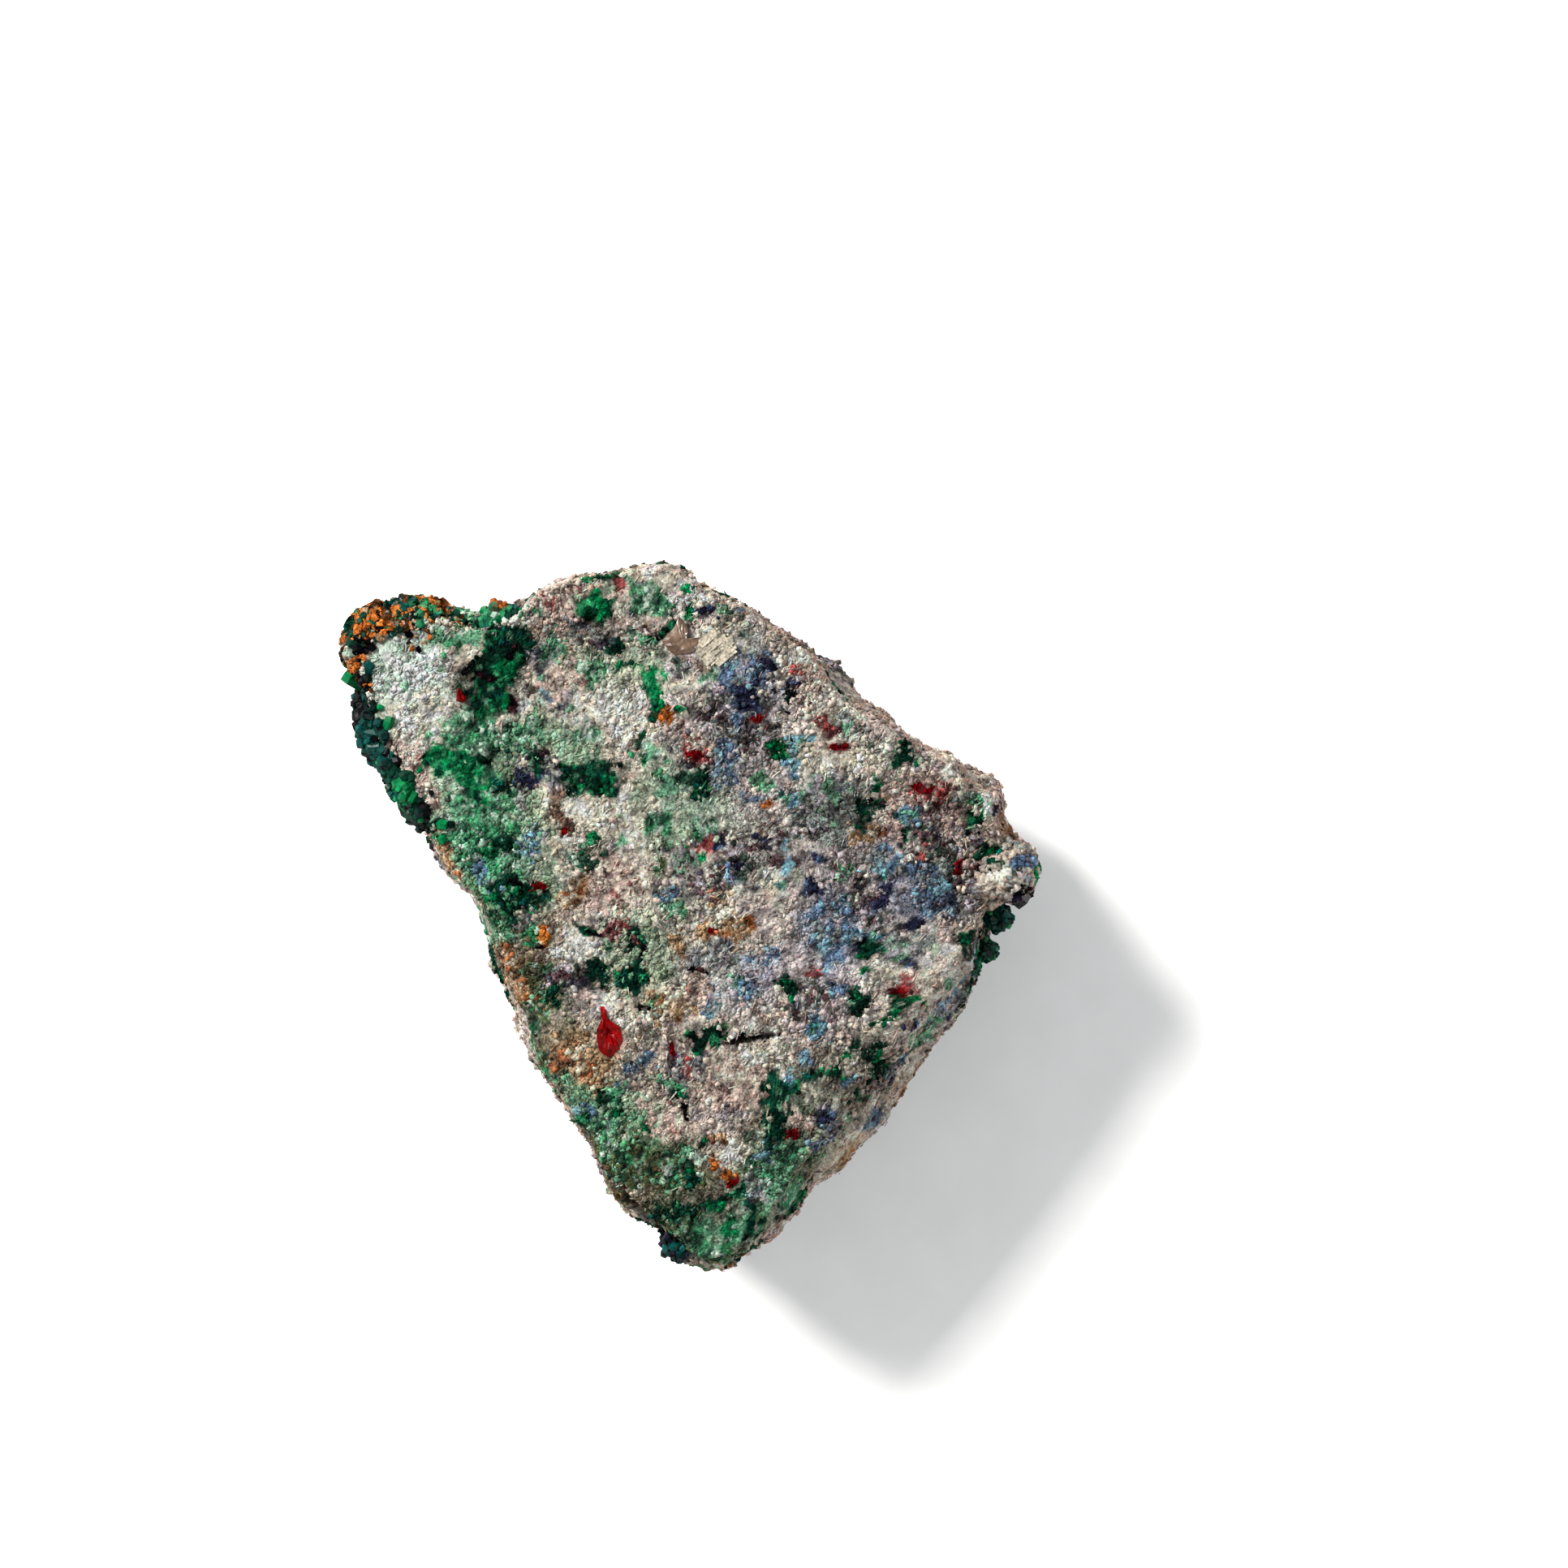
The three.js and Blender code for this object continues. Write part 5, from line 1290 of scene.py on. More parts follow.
def bricks(middles, halves, rng, uneven, turns=None):
    """Bricks with those middles and half sizes: eight jittered corners each, turned as given or at
    random."""
    count = len(middles)
    corners = BRICK * (1 + rng.uniform(-uneven, uneven, (count, len(BRICK), 3))) * halves[:, None, :]
    turns = random_turns(count, rng) if turns is None else turns
    points = middles[:, None, :] + np.einsum("nij,nkj->nki", turns, corners)
    faces = BRICK_FACES[None] + len(BRICK) * np.arange(count)[:, None, None]
    return points.reshape(-1, 3), faces.reshape(-1, 4)


def turns_along(directions, spins):
    """Rotations that carry the third axis onto each direction, spun about it."""
    up = directions / np.linalg.norm(directions, axis=1, keepdims=True)
    helper = np.where(np.abs(up[:, 2:]) < 0.9, [[0.0, 0.0, 1.0]], [[1.0, 0.0, 0.0]])
    side = np.cross(helper, up)
    side /= np.linalg.norm(side, axis=1, keepdims=True)
    third = np.cross(up, side)
    c, s = np.cos(spins)[:, None], np.sin(spins)[:, None]
    return np.stack([side * c + third * s, third * c - side * s, up], axis=2)


print("corners and faces of a brick:", len(BRICK), len(BRICK_FACES))

# %% Sizes and zones of the grains
GRAIN_SIZES = (0.07, 0.25)  # half lengths, from dust to the coarsest
FINENESS = 1.8  # over one, so fine grains outnumber coarse ones
NEEDLE_SHARE = 0.36
BLOCK_SHARE = 0.08
FLAKE = np.array([1.1, 1.0, 0.45])  # half sizes of the three shapes, in grain sizes
NEEDLE = np.array([0.2, 0.2, 1.75])
BLOCK_HEIGHT = 0.8
NEEDLE_SPREAD = 0.5  # how far needles turn from their common way
NEEDLE_LEVEL = 0.93  # how nearly they lie in the surface
FLAKE_TILT, BLOCK_TILT = 0.24, 0.5
STRAY = 0.1  # share of grains that lie away from the crystal they broke from
MOST_IN_A_PIECE = 15000
FLANK_FROM, FOOT_FROM = 1.04, 1.8
CLEAR_OF_FLOOR = 0.4
FREE_OF_CRACKS = 0.3
GRAIN_COUNTS = {"grains_face": 46000, "grains_flank": 20000, "grains_foot": 6000}
zone_of = {
    "grains_face": (rock_row <= FLANK_FROM),
    "grains_flank": (rock_row > FLANK_FROM) & (rock_row < FOOT_FROM),
    "grains_foot": (rock_row >= FOOT_FROM) & (rock_points[:, 2] > CLEAR_OF_FLOOR),
}
print("corners of the net in each zone:", {name: int(zone.sum()) for name, zone in zone_of.items()})

# %% Grains on the rock
def sow_grains(name, spots, normals, seed):
    """Grains half sunk at the spots: thin flakes nearly level with the surface, a few blocks that stand
    up, and needles along the face."""
    rng = np.random.default_rng(seed)
    count = len(spots)
    size = GRAIN_SIZES[0] + (GRAIN_SIZES[1] - GRAIN_SIZES[0]) * rng.random(count) ** FINENESS
    kind = rng.random(count)
    needle, blocky = kind < NEEDLE_SHARE, kind > 1 - BLOCK_SHARE
    halves = size[:, None] * rng.uniform(0.6, 1.2, (count, 3)) * FLAKE
    halves[blocky, 2] = size[blocky] * BLOCK_HEIGHT
    halves[needle] = size[needle, None] * NEEDLE * rng.uniform(0.7, 1.2, (needle.sum(), 3))
    way = np.array([np.cos(NEEDLE_TURN), np.sin(NEEDLE_TURN), 0]) + rng.normal(0, NEEDLE_SPREAD, (count, 3))
    way -= normals * (np.sum(way * normals, axis=1) * NEEDLE_LEVEL)[:, None]
    tilt = np.where(blocky, BLOCK_TILT, FLAKE_TILT)[:, None]
    way = np.where(needle[:, None], way, normals + tilt * rng.normal(0, 1, (count, 3)))
    turns = turns_along(way, rng.uniform(0, 6, count))
    lift = np.where(needle | blocky, rng.uniform(-0.3, 0.3, count), rng.uniform(-0.42, -0.02, count)) * size
    middles = spots + rng.uniform(-0.2, 0.2, (count, 3)) * (1 - 0.6 * np.abs(normals))
    middles = middles + normals * lift[:, None]
    corners, faces = bricks(middles, halves, rng, 0.25, turns)
    corners[:, 2] = np.maximum(corners[:, 2], 0)
    strayed = (rng.random(count) < STRAY)[:, None] * rng.normal(0, 0.7, (count, 3))
    # painted highlight: needles are made lighter than flakes and blocks, as glints
    tone = np.where(needle, rng.uniform(0.85, 1.25, count), rng.uniform(0.82, 1.1, count))
    stain = np.clip(mineral_colours(middles + strayed) * tone[:, None], 0, 1)
    stain = np.repeat(stain, len(BRICK), axis=0)
    make_piece(name, corners, [faces], grain_finish, (), stain, rounded=True)


for seed, (name, count) in enumerate(GRAIN_COUNTS.items()):
    rng = np.random.default_rng(100 + seed)
    free = np.flatnonzero(zone_of[name] & ~covered & (crack_depth(rock_base) < FREE_OF_CRACKS))
    dense = 0.1 + smooth(0.5 + 4 * (layered_noise(rock_points[free], 3.0, 47) - 0.5))
    chosen = rng.choice(free, count, p=dense / dense.sum())
    for part in range(int(np.ceil(count / MOST_IN_A_PIECE))):
        some = chosen[part * MOST_IN_A_PIECE:(part + 1) * MOST_IN_A_PIECE]
        sow_grains(f"{name}_{part + 1}", rock_points[some], rock_normals[some], 500 + 10 * seed + part)

# %% [markdown]
# ## Cuprite, smoky flake and pale block
#
# A set-in crystal is a plate with its outline, raised a little over the rock and sunk well into it.
# Its upper face is a fan of facets: the outline shrunk in steps toward its middle, with heights
# that jump from step to step. Cuprite is deep red all through, so a little transmission with strong
# absorption is chosen over paint alone.

# %% Plates from outlines
SUNK = 1.4  # how deep a set-in crystal's foot lies, mm
PLATE_RINGS = 4
PLATE_STEP = 0.4
FEWEST_STEPS = 14
FOOT_SHRINK = 0.8
TOP_SHRINK = 0.15  # the innermost ring of the top, as a share of the outline
EDGE_RISE = 0.3


def face_level(plan):
    """The height of the broken face with its facets at a place in plan."""
    return face_height(plan) + FACE_RELIEF * facets(np.column_stack([plan, face_height(plan)]))


def capped_rings(rings, count):
    """Faces of a closed shape made of rings of points, then a pole for the first and one for the last:
    the cells between the rings and a fan at each end."""
    ring = np.arange(rings)[:, None] * count + np.arange(count)
    beside = np.roll(ring, -1, axis=1)
    first, last = np.full(count, rings * count), np.full(count, rings * count + 1)
    fans = [np.stack([beside[0], ring[0], first], axis=1), np.stack([ring[-1], beside[-1], last], axis=1)]
    return [between_rings(ring), np.vstack(fans)]


def plate(outline, proud, uneven, seed):
    """Rings of the outline, resampled and shrunk toward the middle, over one sunk ring and a pole at
    each end. Each ring's points rise and fall by a random amount."""
    rng = np.random.default_rng(seed)
    edge = np.array(outline)[::-1]
    if np.sum(edge[:, 0] * np.roll(edge[:, 1], -1) - edge[:, 1] * np.roll(edge[:, 0], -1)) < 0:
        edge = edge[::-1]
    closed, along = walk_round(edge)
    count = max(FEWEST_STEPS, int(along[-1] / PLATE_STEP))
    edge = equal_steps(closed, along, count)
    middle, ground = edge.mean(0), face_level(edge)
    shrink = np.concatenate([[FOOT_SHRINK, 1.0], np.linspace(1.0, TOP_SHRINK, PLATE_RINGS)[1:]])
    heights = np.concatenate([[-SUNK, EDGE_RISE * proud], np.full(PLATE_RINGS - 1, proud)])
    layers = []
    for k, (share, height) in enumerate(zip(shrink, heights)):
        plan = middle + (edge - middle) * share
        level = ground * share + ground.mean() * (1 - share) + height
        level = level + (rng.uniform(-uneven, uneven, count) if k > 1 else 0)
        layers.append(np.column_stack([plan, level]))
    poles = np.array([[*middle, ground.mean() - SUNK], [*middle, ground.mean() + proud]])
    return np.vstack([*layers, poles]), capped_rings(len(layers), count)


under_flake = face_level(np.array(SET_IN["smoky_cleavage"]))
print("height of the face under the smoky flake, mm:", under_flake.mean().round(2))

# %% Finish of clear crystals
MOTTLE_IN_CRYSTAL = (0.6, 1.35)
CRYSTAL_BUMP = 0.35
BUMP_MM = 0.05


def crystal_finish(name, tint, absorbed, density, roughness, transmission, ior, specular, stained=True):
    """Clear crystal: transmission and index on the shader, absorption through its depth, and a
    faint noise in its gloss. A stained one takes its tint from the stain attribute."""
    material, tree, shader = new_material(name, IOR=ior, Transmission_Weight=transmission,
                                          Specular_IOR_Level=specular)
    shader.inputs["Base Color"].default_value = (*tint, 1)
    mottle = noise_node(tree, 0.5)
    if stained:
        stain = add_node(tree, "ShaderNodeAttribute", attribute_name="stain").outputs["Color"]
        tone = scaled(tree, mottle, *NOISE_RANGE, *MOTTLE_IN_CRYSTAL)
        tree.links.new(multiplied(tree, stain, tone), shader.inputs["Base Color"])
    rough = scaled(tree, mottle, *NOISE_RANGE, roughness * 0.6, roughness * 1.5)
    tree.links.new(rough, shader.inputs["Roughness"])
    bump = add_node(tree, "ShaderNodeBump",
                    {"Height": mottle, "Strength": CRYSTAL_BUMP, "Distance": BUMP_MM * MM})
    tree.links.new(bump.outputs["Normal"], shader.inputs["Normal"])
    volume = add_node(tree, "ShaderNodeVolumeAbsorption", {"Color": (*absorbed, 1), "Density": density})
    tree.links.new(volume.outputs[0], tree.nodes["Material Output"].inputs["Volume"])
    return material


cuprite_finish = crystal_finish(
    "cuprite", tint=srgb(92, 0, 1), absorbed=srgb(190, 2, 6), density=9000, roughness=0.25,
    transmission=0.12, ior=1.5, specular=0.05)
smoky_finish = crystal_finish(
    "smoky_crystal", tint=srgb(86, 68, 56), absorbed=srgb(120, 92, 72), density=1500, roughness=0.25,
    transmission=0.35, ior=1.55, specular=0.06)
print("clear finishes:", cuprite_finish.name, smoky_finish.name)

# %% Cuprite grains and smoky flake
CUPRITE_STAIN = srgb(100, 0, 1)
SMOKY_STAIN = srgb(92, 74, 60)
# Outline, slot, finish, stain, how proud the crystal stands, and how uneven its top is.
PLATES = [
    ("cuprite_large", "cuprite", cuprite_finish, CUPRITE_STAIN, 0.42, 0.14),
    ("cuprite_upper", "cuprite", cuprite_finish, CUPRITE_STAIN, 0.4, 0.1),
    ("cuprite_lower", "cuprite", cuprite_finish, CUPRITE_STAIN, 0.4, 0.1),
    ("smoky_cleavage", "smoky_crystal", smoky_finish, SMOKY_STAIN, 0.28, 0.06),
]
for seed, (name, slot, finish, tint, proud, uneven) in enumerate(PLATES, start=40):
    points, faces = plate(SET_IN[name], proud, uneven, seed)
    depth = 0.75 + 0.7 * smooth(0.6 + 3 * (layered_noise(points, 1.3, 57) - 0.5))
    make_piece(name, points, faces, finish, [name], tint * depth[:, None])

# %% [markdown]
# The pale block breaks along one direction into long splinters, so it is a sheaf of flat bricks laid
# side by side at the same turn, each at its own height.

# %% Splinters of the pale block
STRIATION = np.radians(40)
SPLINTER_PITCH = 0.24
SPLINTER_HALF_WIDTH = 0.13
SPLINTER_HALF_HEIGHT = 0.3
BLOCK_REACH = 3.0
BLOCK_TONE = 0.68


def block_splinters(outline):
    """Long thin bricks in rows across the outline, all along the striation, kept where they fall in
    it."""
    rng = np.random.default_rng(9)
    reach = np.arange(-BLOCK_REACH, BLOCK_REACH, SPLINTER_PITCH)
    a, b = (places.ravel() for places in np.meshgrid(reach, reach, indexing="ij"))
    a = a + rng.uniform(-0.1, 0.1, a.size)
    c, s = np.cos(STRIATION), np.sin(STRIATION)
    plan = np.mean(outline, axis=0) + np.column_stack([a * c - b * s, a * s + b * c])
    plan = plan[inside_outline(plan, outline)]
    count = len(plan)
    middles = np.column_stack([plan, face_level(plan) + rng.uniform(-0.15, 0.15, count)])
    halves = np.column_stack([rng.uniform(0.35, 0.7, count), np.full(count, SPLINTER_HALF_WIDTH),
                              np.full(count, SPLINTER_HALF_HEIGHT)])
    turns = np.tile(np.array([[c, -s, 0], [s, c, 0], [0, 0, 1]]), (count, 1, 1))
    points, faces = bricks(middles, halves, rng, 0.1, turns)
    tone = np.repeat(rng.uniform(0.75, 1.1, count), len(BRICK))[:, None]
    return points, faces, MINERAL["cream"] * BLOCK_TONE * tone


calcite_finish = stone_finish("pale_block", seams=0.7, roughness=0.3, bump_mm=0.05)
points, faces, stain = block_splinters(SET_IN["calcite_cleavage"])
make_piece("calcite_cleavage", points, [faces], calcite_finish, ["calcite_cleavage"], stain)

# %% [markdown]
# ## Crusts on the flank
#
# A crust is a skin of crystals grown together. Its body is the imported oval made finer: a low ragged
# dome on the rock, closed underneath, with a knobbly top. On it stand hexagonal prisms that end in
# three slanting rhombs, the form dioptase grows in. All the prisms of a crust are one array.

# %% Body of a crust
BODY_SUNK = 0.8
RIM_HEIGHT = 0.05


def crust_body(crust, rings, pitch, knobs, knob_size):
    """Rings of a dome whose height falls toward its rim, moved along the rock's normals by a cellular
    noise, over the same rings sunk into the rock, with a pole at each end."""
    _, _, along, _, thick, seed = crust
    count = int(2 * np.pi * along / pitch)
    turn = -2 * np.pi * np.arange(count) / count
    reach = np.concatenate([np.arange(1, rings + 1), np.arange(rings, 0, -1)]) / rings
    share, row = crust_place(crust, turn[None, :], reach[:, None])
    ground, normal = rock_point(share, row), rock_normal(share, row)
    flat = ground.reshape(-1, 3)
    seam, number = grain_cells(flat, knob_size, 80 + seed)
    bump = (0.55 + 0.9 * number * smooth(3 * seam) + 0.4 * layered_noise(flat, 0.6, 81)).reshape(share.shape)
    dome = -0.1 + (CRUST_EDGE + thick * np.sqrt(1 - reach * reach))[:, None] * (1 - knobs + knobs * bump)
    upper = (np.arange(2 * rings) < rings)[:, None]
    height = np.where(upper, dome, -BODY_SUNK)
    height = np.where(upper & (reach == 1)[:, None], RIM_HEIGHT, height)
    points = ground + normal * height[..., None]
    share, row = crust_place(crust, np.zeros(1), np.zeros(1))
    pole, out = rock_point(share, row), rock_normal(share, row)
    points = np.vstack([points.reshape(-1, 3), pole + out * height[0].mean(), pole - out * BODY_SUNK])
    points[:, 2] = np.maximum(points[:, 2], 0)
    return points, capped_rings(2 * rings, count)


crust_middle = rock_point(*crust_place(CRUSTS["dioptase_crust"], np.zeros(1), np.zeros(1)))
print("middle of the dioptase crust in mm:", crust_middle.round(1))

# %% Prisms
PRISM_CORNERS = 13
PRISM_TURN = np.pi / 3 * np.arange(6)
PRISM_SIDES = [(i, (i + 1) % 6, (i + 1) % 6 + 6, i + 6) for i in range(6)]
PRISM_TIP = [(12, 6 + (i - 1) % 6, 6 + i, 6 + (i + 1) % 6) for i in (0, 2, 4)]
PRISM_FACES = np.array(PRISM_SIDES + PRISM_TIP + [(0, 5, 4, 3), (0, 3, 2, 1)])
print("faces of a prism:", len(PRISM_FACES))


TIP_DROP = np.array([0.9, 0.45] * 3)  # of the six upper corners below the tip, in radii


def prisms(roots, directions, radii, lengths, spins):
    """Six-sided prisms along their directions. By turns the upper corners lie lower and higher, so the
    tip is three flat rhombs."""
    count = len(roots)
    ring = np.stack([np.cos(PRISM_TURN + spins[:, None]), np.sin(PRISM_TURN + spins[:, None])], axis=2)
    local = np.zeros((count, PRISM_CORNERS, 3))
    local[:, :6, :2] = local[:, 6:12, :2] = ring * radii[:, None, None]
    local[:, 6:12, 2] = lengths[:, None] - TIP_DROP * radii[:, None]
    local[:, 12, 2] = lengths
    turns = turns_along(directions, np.zeros(count))
    points = roots[:, None, :] + np.einsum("nij,nkj->nki", turns, local)
    faces = PRISM_FACES[None] + PRISM_CORNERS * np.arange(count)[:, None, None]
    return points.reshape(-1, 3), faces.reshape(-1, 4)

# %% Crystals and crumbs strewn over a crust
SPILL = 0.55  # how far past a crust's rim the furthest of its crystals lie, in crust widths
INSIDE_RIM = 0.97
ROOTED = 0.4  # how much of a prism lies under its crust
STRAY_CRUMBS = 0.2
CRUMB_SCATTER = 0.14
HOLLOWS = (1.2, 55)  # size and seed of the noise that leaves hollows


def crust_spots(crust, count, rng, height):
    """Places strewn evenly over a crust by the golden angle, with the rock's normals there. Some are
    pushed outward past the crust's rim, where they lie on the bare rock."""
    reach = INSIDE_RIM * np.sqrt((np.arange(count) + 0.5) / count)
    reach = reach * (1 + SPILL * rng.random(count) ** 5)
    turn = np.arange(count) * GOLDEN_ANGLE + rng.uniform(-0.1, 0.1, count)
    share, row = crust_place(crust, turn, reach)
    normal = rock_normal(share, row)
    dome = height * np.sqrt(np.maximum(1 - reach * reach, 0))
    return rock_point(share, row) + normal * dome[:, None], normal


def crust_prisms(crust, count, sizes, lean, rng, height):
    """Prisms on a crust: most are small, and they lean every way from the normal."""
    roots, normal = crust_spots(crust, count, rng, height)
    direction = normal + rng.uniform(-lean, lean, (count, 3))
    size = sizes[0] + (sizes[1] - sizes[0]) * rng.random(count) ** 2
    length = size * rng.uniform(1.8, 4.0, count)
    direction /= np.linalg.norm(direction, axis=1, keepdims=True)
    feet = roots - direction * (ROOTED * length)[:, None]
    points, faces = prisms(feet, direction, size, length, rng.uniform(0, 6, count))
    points[:, 2] = np.maximum(points[:, 2], 0)
    return points, faces, roots


def crust_crumbs(crust, count, sizes, rng, height, bare=0.0):
    """Small bricks strewn over a crust, a little off its dome; few lie where the noise is under bare."""
    roots, _ = crust_spots(crust, count, rng, height)
    keep = (layered_noise(roots, *HOLLOWS) > bare) | (rng.random(count) < STRAY_CRUMBS)
    roots = roots[keep] + rng.normal(0, CRUMB_SCATTER, (keep.sum(), 3))
    halves = rng.uniform(*sizes, (len(roots), 1)) * rng.uniform(0.5, 2.2, (len(roots), 3))
    points, faces = bricks(roots, halves, rng, 0.3)
    points[:, 2] = np.maximum(points[:, 2], 0)
    return points, faces, roots


tried = crust_spots(CRUSTS["dioptase_rim"], 100, np.random.default_rng(0), CRUST_EDGE)[0]
print("a hundred spots on the crust at the upper edge span, mm:", np.ptp(tried, axis=0).round(1))

# %% [markdown]
# Dioptase is green through and through, so thick crystals look nearly black and thin edges emerald.
# The crust mixes black, bottle green, teal and a few bright emerald prisms.

# %% Colours placed on the crusts
def mixed_stain(places, kinds, rng):
    """A colour for each crystal, drawn from named minerals with their shares, a little varied."""
    names = list(kinds)
    shares = np.array([kinds[n] for n in names], float)
    pick = rng.choice(len(names), len(places), p=shares / shares.sum())
    table = np.array([MINERAL[n] for n in names])
    return table[pick] * rng.uniform(0.7, 1.3, (len(places), 1))


# Middle in plan, half sizes along x and y, mineral.
CRUST_PATCHES = [
    (-25.4, 27.2, 1.4, 0.9, "teal"), (-22.9, 26.9, 1.3, 0.9, "green"), (-22.4, 27.9, 1.4, 0.5, "rust"),
    (-29.8, 25.2, 1.3, 1.2, "deep_green"), (-29.3, 22.9, 0.6, 0.7, "mint"), (-28.2, 23.4, 0.9, 1.0, "black"),
    (-27.3, 23.9, 0.5, 0.5, "black"), (-30.2, 20.6, 1.1, 2.4, "black"), (-28.3, 19.0, 0.9, 2.4, "black"),
    (-27.2, 25.4, 1.5, 1.1, "orange"), (-24.9, 25.9, 1.2, 1.0, "orange"), (-28.1, 22.1, 1.1, 0.8, "orange"),
    (-27.2, 20.4, 0.6, 0.8, "orange"), (-21.6, 26.8, 1.3, 0.5, "rust"), (-23.8, 25.8, 0.6, 0.6, "cream"),
    (-29.6, 21.0, 0.6, 0.8, "emerald"), (-27.4, 16.3, 1.0, 1.2, "teal"), (-26.9, 13.9, 1.1, 1.5, "teal"),
    (-25.6, 14.6, 0.8, 0.7, "black"), (-25.2, 12.4, 0.9, 1.1, "deep_green"),
    (-24.5, 11.0, 1.0, 1.2, "emerald"),
    (-25.4, 10.6, 0.6, 0.8, "teal"), (-23.6, 8.6, 0.8, 1.2, "deep_green"), (-27.3, 18.0, 0.5, 0.8, "bottle"),
    (28.6, 6.8, 1.6, 1.0, "grey"), (28.9, 4.6, 1.1, 1.1, "blue"), (30.3, 4.2, 0.7, 1.4, "emerald"),
    (28.6, 2.6, 1.2, 0.8, "black"), (29.8, 2.2, 0.9, 0.7, "plum"), (27.9, 1.8, 0.8, 0.5, "navy"),
    (-18.0, 26.4, 1.6, 0.9, "green"), (-16.2, 27.1, 0.6, 0.4, "rust"), (-18.8, 25.9, 0.9, 0.6, "deep_green"),
]


PATCH_STRUCK = 0.72  # share of a patch's crystals that take its mineral


def crust_stain(places, kinds, rng, without=()):
    """Colours of a crust: a mix of minerals, or the rock's own colours where no mix is given, and
    where a patch lies near the face, mostly that patch's mineral, leaving out some. Noise shifts each
    place first, so the patches are ragged."""
    colour = mixed_stain(places, kinds, rng) if kinds else mineral_colours(places)
    shift = np.stack([layered_noise(places, 0.8, 62 + k) for k in range(2)], axis=1) - 0.5
    number = grain_cells(places, 0.5, 66)[1]
    shallow = smooth(3 - (face_height(places[:, :2]) - places[:, 2]) / 2.0)
    for k, (x, y, half_x, half_y, name) in enumerate(CRUST_PATCHES):
        if name in without:
            continue
        away = (places[:, :2] + shift - np.array([x, y])) / np.array([half_x, half_y])
        near = smooth(2.5 * (1.15 - np.linalg.norm(away, axis=1))) * shallow
        cover = near * (reshuffled(number, 11.3 + 5.1 * k) < PATCH_STRUCK)
        colour = laid_over(colour, MINERAL[name] * rng.uniform(0.7, 1.25, (len(places), 1)), cover)
    return colour


print("patches on the crusts:", len(CRUST_PATCHES))

# %% Dioptase crusts
dioptase_finish = crystal_finish(
    "dioptase", tint=srgb(8, 90, 66), absorbed=srgb(10, 150, 90), density=7000, roughness=0.34,
    transmission=0.12, ior=1.66, specular=0.0)
dioptase_ground = stone_finish("dioptase_ground", seams=0.5, roughness=0.35, bump_mm=0.08)

CLEAR_TONE = 0.68  # a clear crystal shows less of its stain than broken stone does
# painted shade: a crust's body is darkened as if its crystals shaded it
BODY_PAINTED_SHADE = 0.6  # the body lies in the shade of its crystals
DIOPTASE_MIXES = {
    "dioptase_crust": ("dioptase", 1500, (0.12, 0.5),
                       {"black": 6, "bottle": 6, "teal": 2.5, "deep_green": 5, "emerald": 3}),
    "dioptase_rim": ("dioptase_green", 150, (0.14, 0.42),
                     {"green": 4, "deep_green": 4, "teal": 2, "mint": 2, "emerald": 2}),
    "dioptase_patch_upper": ("dioptase", 90, (0.14, 0.4),
                             {"bottle": 3, "deep_green": 5, "teal": 3, "green": 2}),
    "dioptase_patch_lower": ("dioptase", 80, (0.12, 0.36),
                             {"bottle": 3, "deep_green": 5, "teal": 2, "green": 2}),
    "dioptase_tip": ("dioptase", 90, (0.14, 0.42), {"bottle": 3, "teal": 5, "navy": 4, "black": 1}),
}


def clear_crystals(piece, name, made, kinds, rng, without=()):
    """Clear crystals of a crust as one piece, each in one colour of the mix; made is what
    crust_prisms gave."""
    points, faces, roots = made
    stain = crust_stain(roots, kinds, rng, without) * CLEAR_TONE
    stain = np.repeat(stain, PRISM_CORNERS, axis=0)
    make_piece(piece, points, [faces], dioptase_finish, [name], stain)


for name, (slot, count, sizes, kinds) in DIOPTASE_MIXES.items():
    crust = CRUSTS[name]
    rng = np.random.default_rng(200 + crust[5])
    points, faces = crust_body(crust, rings=16, pitch=0.3, knobs=0.6, knob_size=0.9)
    stain = crust_stain(points, kinds, rng) * BODY_PAINTED_SHADE
    make_piece(name + "_body", points, faces, dioptase_ground, [name], stain)
    made = crust_prisms(crust, count, sizes, 0.8, rng, CRUST_EDGE + crust[4])
    clear_crystals(name + "_crystals", name, made, kinds, rng)

# %% [markdown]
# Limonite is rust: stringy, earthy and full of holes, with green tufts in it. Its body is the same
# dome with rougher knobs, and small rusty crumbs and a few green prisms lie all over it.

# %% Limonite crust
limonite_finish = stone_finish("limonite", seams=0.3, roughness=0.85, bump_mm=0.12)
RUSTY = {"rust": 3, "orange": 4, "ochre": 3, "cream": 1, "umber": 3, "black": 4, "deep_green": 3}
TUFTS = {"green": 3, "deep_green": 6, "teal": 3, "black": 3}
NOT_ON_TUFTS = ("orange", "rust", "cream", "white")
DARKEST_PAINTED_HOLLOW = 0.12
BARE_HOLLOWS = 0.42

crust = CRUSTS["limonite_crust"]
rng = np.random.default_rng(301)
points, faces = crust_body(crust, rings=26, pitch=0.22, knobs=0.45, knob_size=0.8)
# painted shade: the body is darkened where the noise leaves hollows among the crumbs
outside_painted_hollows = smooth(4 * layered_noise(points, *HOLLOWS) - 1.5)[:, None]
stain = crust_stain(points, RUSTY, rng) * (DARKEST_PAINTED_HOLLOW + (1 - DARKEST_PAINTED_HOLLOW) * outside_painted_hollows)
make_piece("limonite_crust_body", points, faces, limonite_finish, ["limonite_crust"], stain)

points, faces, roots = crust_crumbs(
    crust, 3600, (0.04, 0.17), rng, CRUST_EDGE + crust[4] * 0.8, BARE_HOLLOWS)
stain = np.repeat(crust_stain(roots, RUSTY, rng), len(BRICK), axis=0)
make_piece("limonite_crumbs", points, [faces], limonite_finish, ["limonite_crust"], stain)

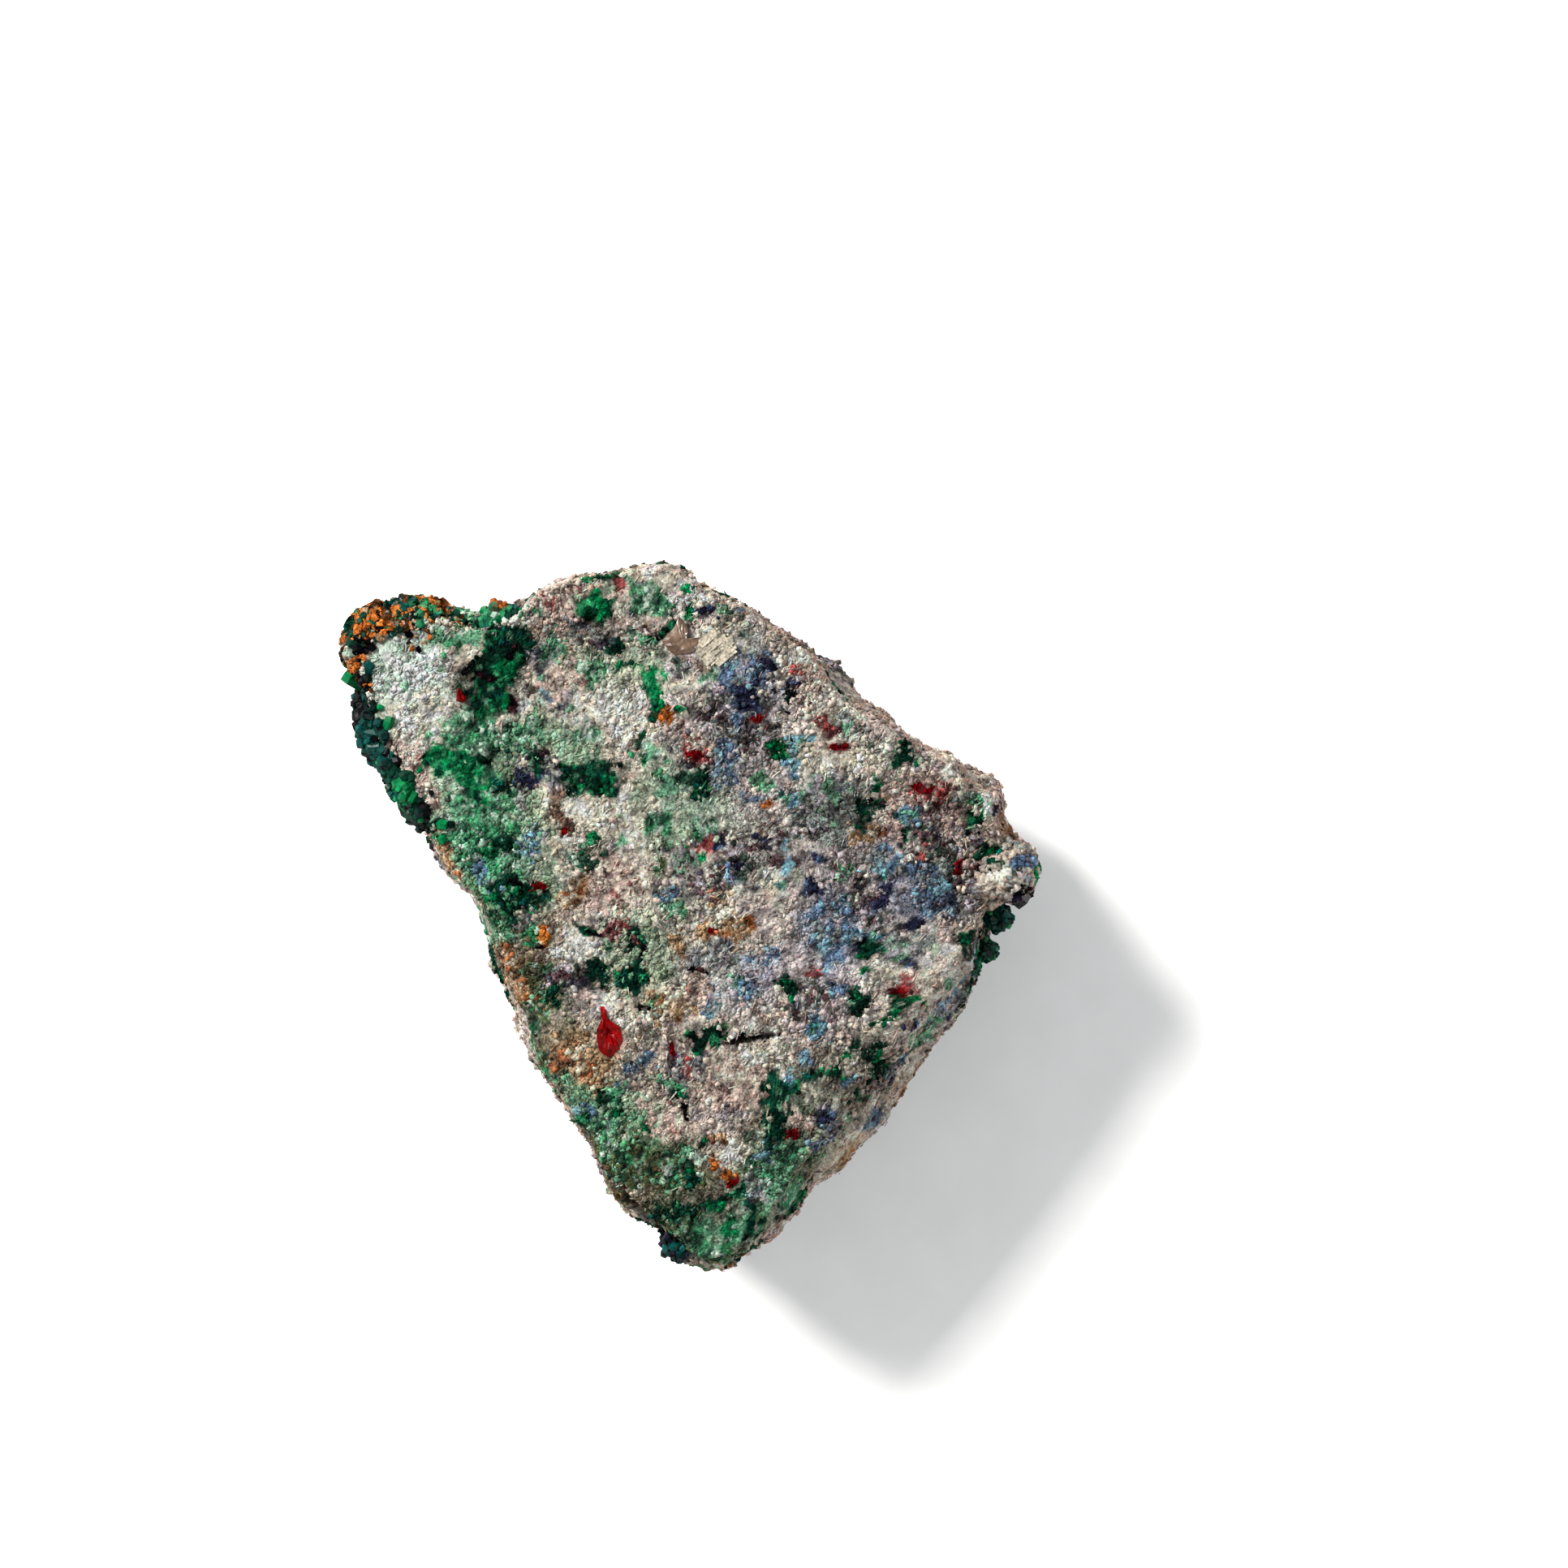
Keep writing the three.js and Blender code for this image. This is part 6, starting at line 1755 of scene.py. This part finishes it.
made = crust_prisms(crust, 700, (0.12, 0.46), 0.9, rng, CRUST_EDGE + crust[4] * 0.62)
clear_crystals("limonite_tufts", "limonite_crust", made, TUFTS, rng, NOT_ON_TUFTS)

# %% [markdown]
# The knob at the right tip is azurite under a skin of rock grains, so its crystals, its grains and its
# body take the colours that the rock has there.

# %% Azurite knob
KNOB_TONE = 0.8
NO_MIX = {}  # the rock's own colours

crust = CRUSTS["azurite_knob"]
rng = np.random.default_rng(303)
points, faces = crust_body(crust, rings=18, pitch=0.25, knobs=0.3, knob_size=0.8)
stain = crust_stain(points, NO_MIX, rng) * KNOB_TONE
make_piece("azurite_knob_body", points, faces, dioptase_ground, ["azurite_knob"], stain)

made = crust_prisms(crust, 150, (0.08, 0.26), 0.9, rng, crust[4] + 0.1)
clear_crystals("azurite_knob_crystals", "azurite_knob", made, NO_MIX, rng)

points, faces, roots = crust_crumbs(crust, 2200, (0.06, 0.2), rng, CRUST_EDGE + crust[4] * 0.7)
stain = np.repeat(crust_stain(roots, NO_MIX, rng), len(BRICK), axis=0)
make_piece("azurite_knob_grains", points, [faces], grain_finish, ["azurite_knob"], stain,
           rounded=True)

# %% [markdown]
# ## Single crystals on the flank
#
# Three crystals stand out from the crusts: a bright green prism, a broad teal plate and a black one
# at the right tip. They are the same prism shape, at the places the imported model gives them.

# %% Seated crystals
FOOT_LENGTH = 1.0  # the part of a seated crystal that lies in the rock

black_finish = crystal_finish(
    "black_crystal", tint=srgb(5, 3, 8), absorbed=srgb(60, 20, 80), density=30000, roughness=0.05,
    transmission=0.1, ior=1.7, specular=0.12, stained=False)
# Slot, finish, share and row, radius and length in mm, how it leans from the normal, and mineral.
SEATED = {
    "dioptase_prism": ("dioptase_green", dioptase_finish, 0.982, 1.3, 0.7, 2.6, (0.4, 0.6, 0.5), "emerald"),
    "dioptase_plate": ("dioptase", dioptase_finish, 0.945, 1.3, 1.25, 2.0, (-0.2, -0.5, 0.3), "teal"),
    "black_crystal": ("black_crystal", black_finish, 0.4045, 1.2, 0.9, 2.3, (0.0, -0.2, 0.4), "black"),
}
for name, (slot, finish, at, row, radius, length, lean, kind) in SEATED.items():
    place = np.array([at]), np.array([row])
    direction = rock_normal(*place) + np.array(lean)
    direction /= np.linalg.norm(direction)
    root = rock_point(*place) - direction * FOOT_LENGTH
    size = np.array([radius]), np.array([length + FOOT_LENGTH])
    points, faces = prisms(root, direction, *size, spins=np.array([0.4]))
    stain = np.tile(MINERAL[kind] * CLEAR_TONE, (PRISM_CORNERS, 1))
    make_piece(name, points, [faces], finish, [name], stain)

# %% Blades round the plate's foot
# Small blades stand round the broad plate's foot and close the gap under it.
BLADES = 26
BLADE_MIX = {"bottle": 3, "teal": 3, "deep_green": 3, "emerald": 1}
slot, _, at, row, _, _, lean, _ = SEATED["dioptase_plate"]
rng = np.random.default_rng(401)
ats, rows = at + rng.uniform(-0.008, 0.008, BLADES), row + rng.uniform(-0.16, 0.1, BLADES)
directions = rock_normal(ats, rows) + np.array(lean) + rng.normal(0, 0.3, (BLADES, 3))
directions /= np.linalg.norm(directions, axis=1, keepdims=True)
radii, lengths, spins = (rng.uniform(*span, BLADES) for span in ((0.25, 0.55), (1.6, 2.6), (0.3, 0.8)))
points, faces = prisms(rock_point(ats, rows) - 0.5 * directions, directions, radii, lengths, spins)
stain = np.repeat(mixed_stain(ats, BLADE_MIX, rng) * CLEAR_TONE, PRISM_CORNERS, axis=0)
make_piece("dioptase_plate_blades", points, [faces], dioptase_finish, ["dioptase_plate"], stain)

# %% [markdown]
# ## Floor finish
#
# The floor is plain pale card.

# %% Floor
floor_finish, floor_tree, floor_shader = new_material("pale_card", Roughness=0.9)
floor_tone = scaled(floor_tree, noise_node(floor_tree, 6.0), 0.3, 0.7, 0.86, 0.9)
floor_tree.links.new(floor_tone, floor_shader.inputs["Base Color"])
floor.data.materials.append(floor_finish)
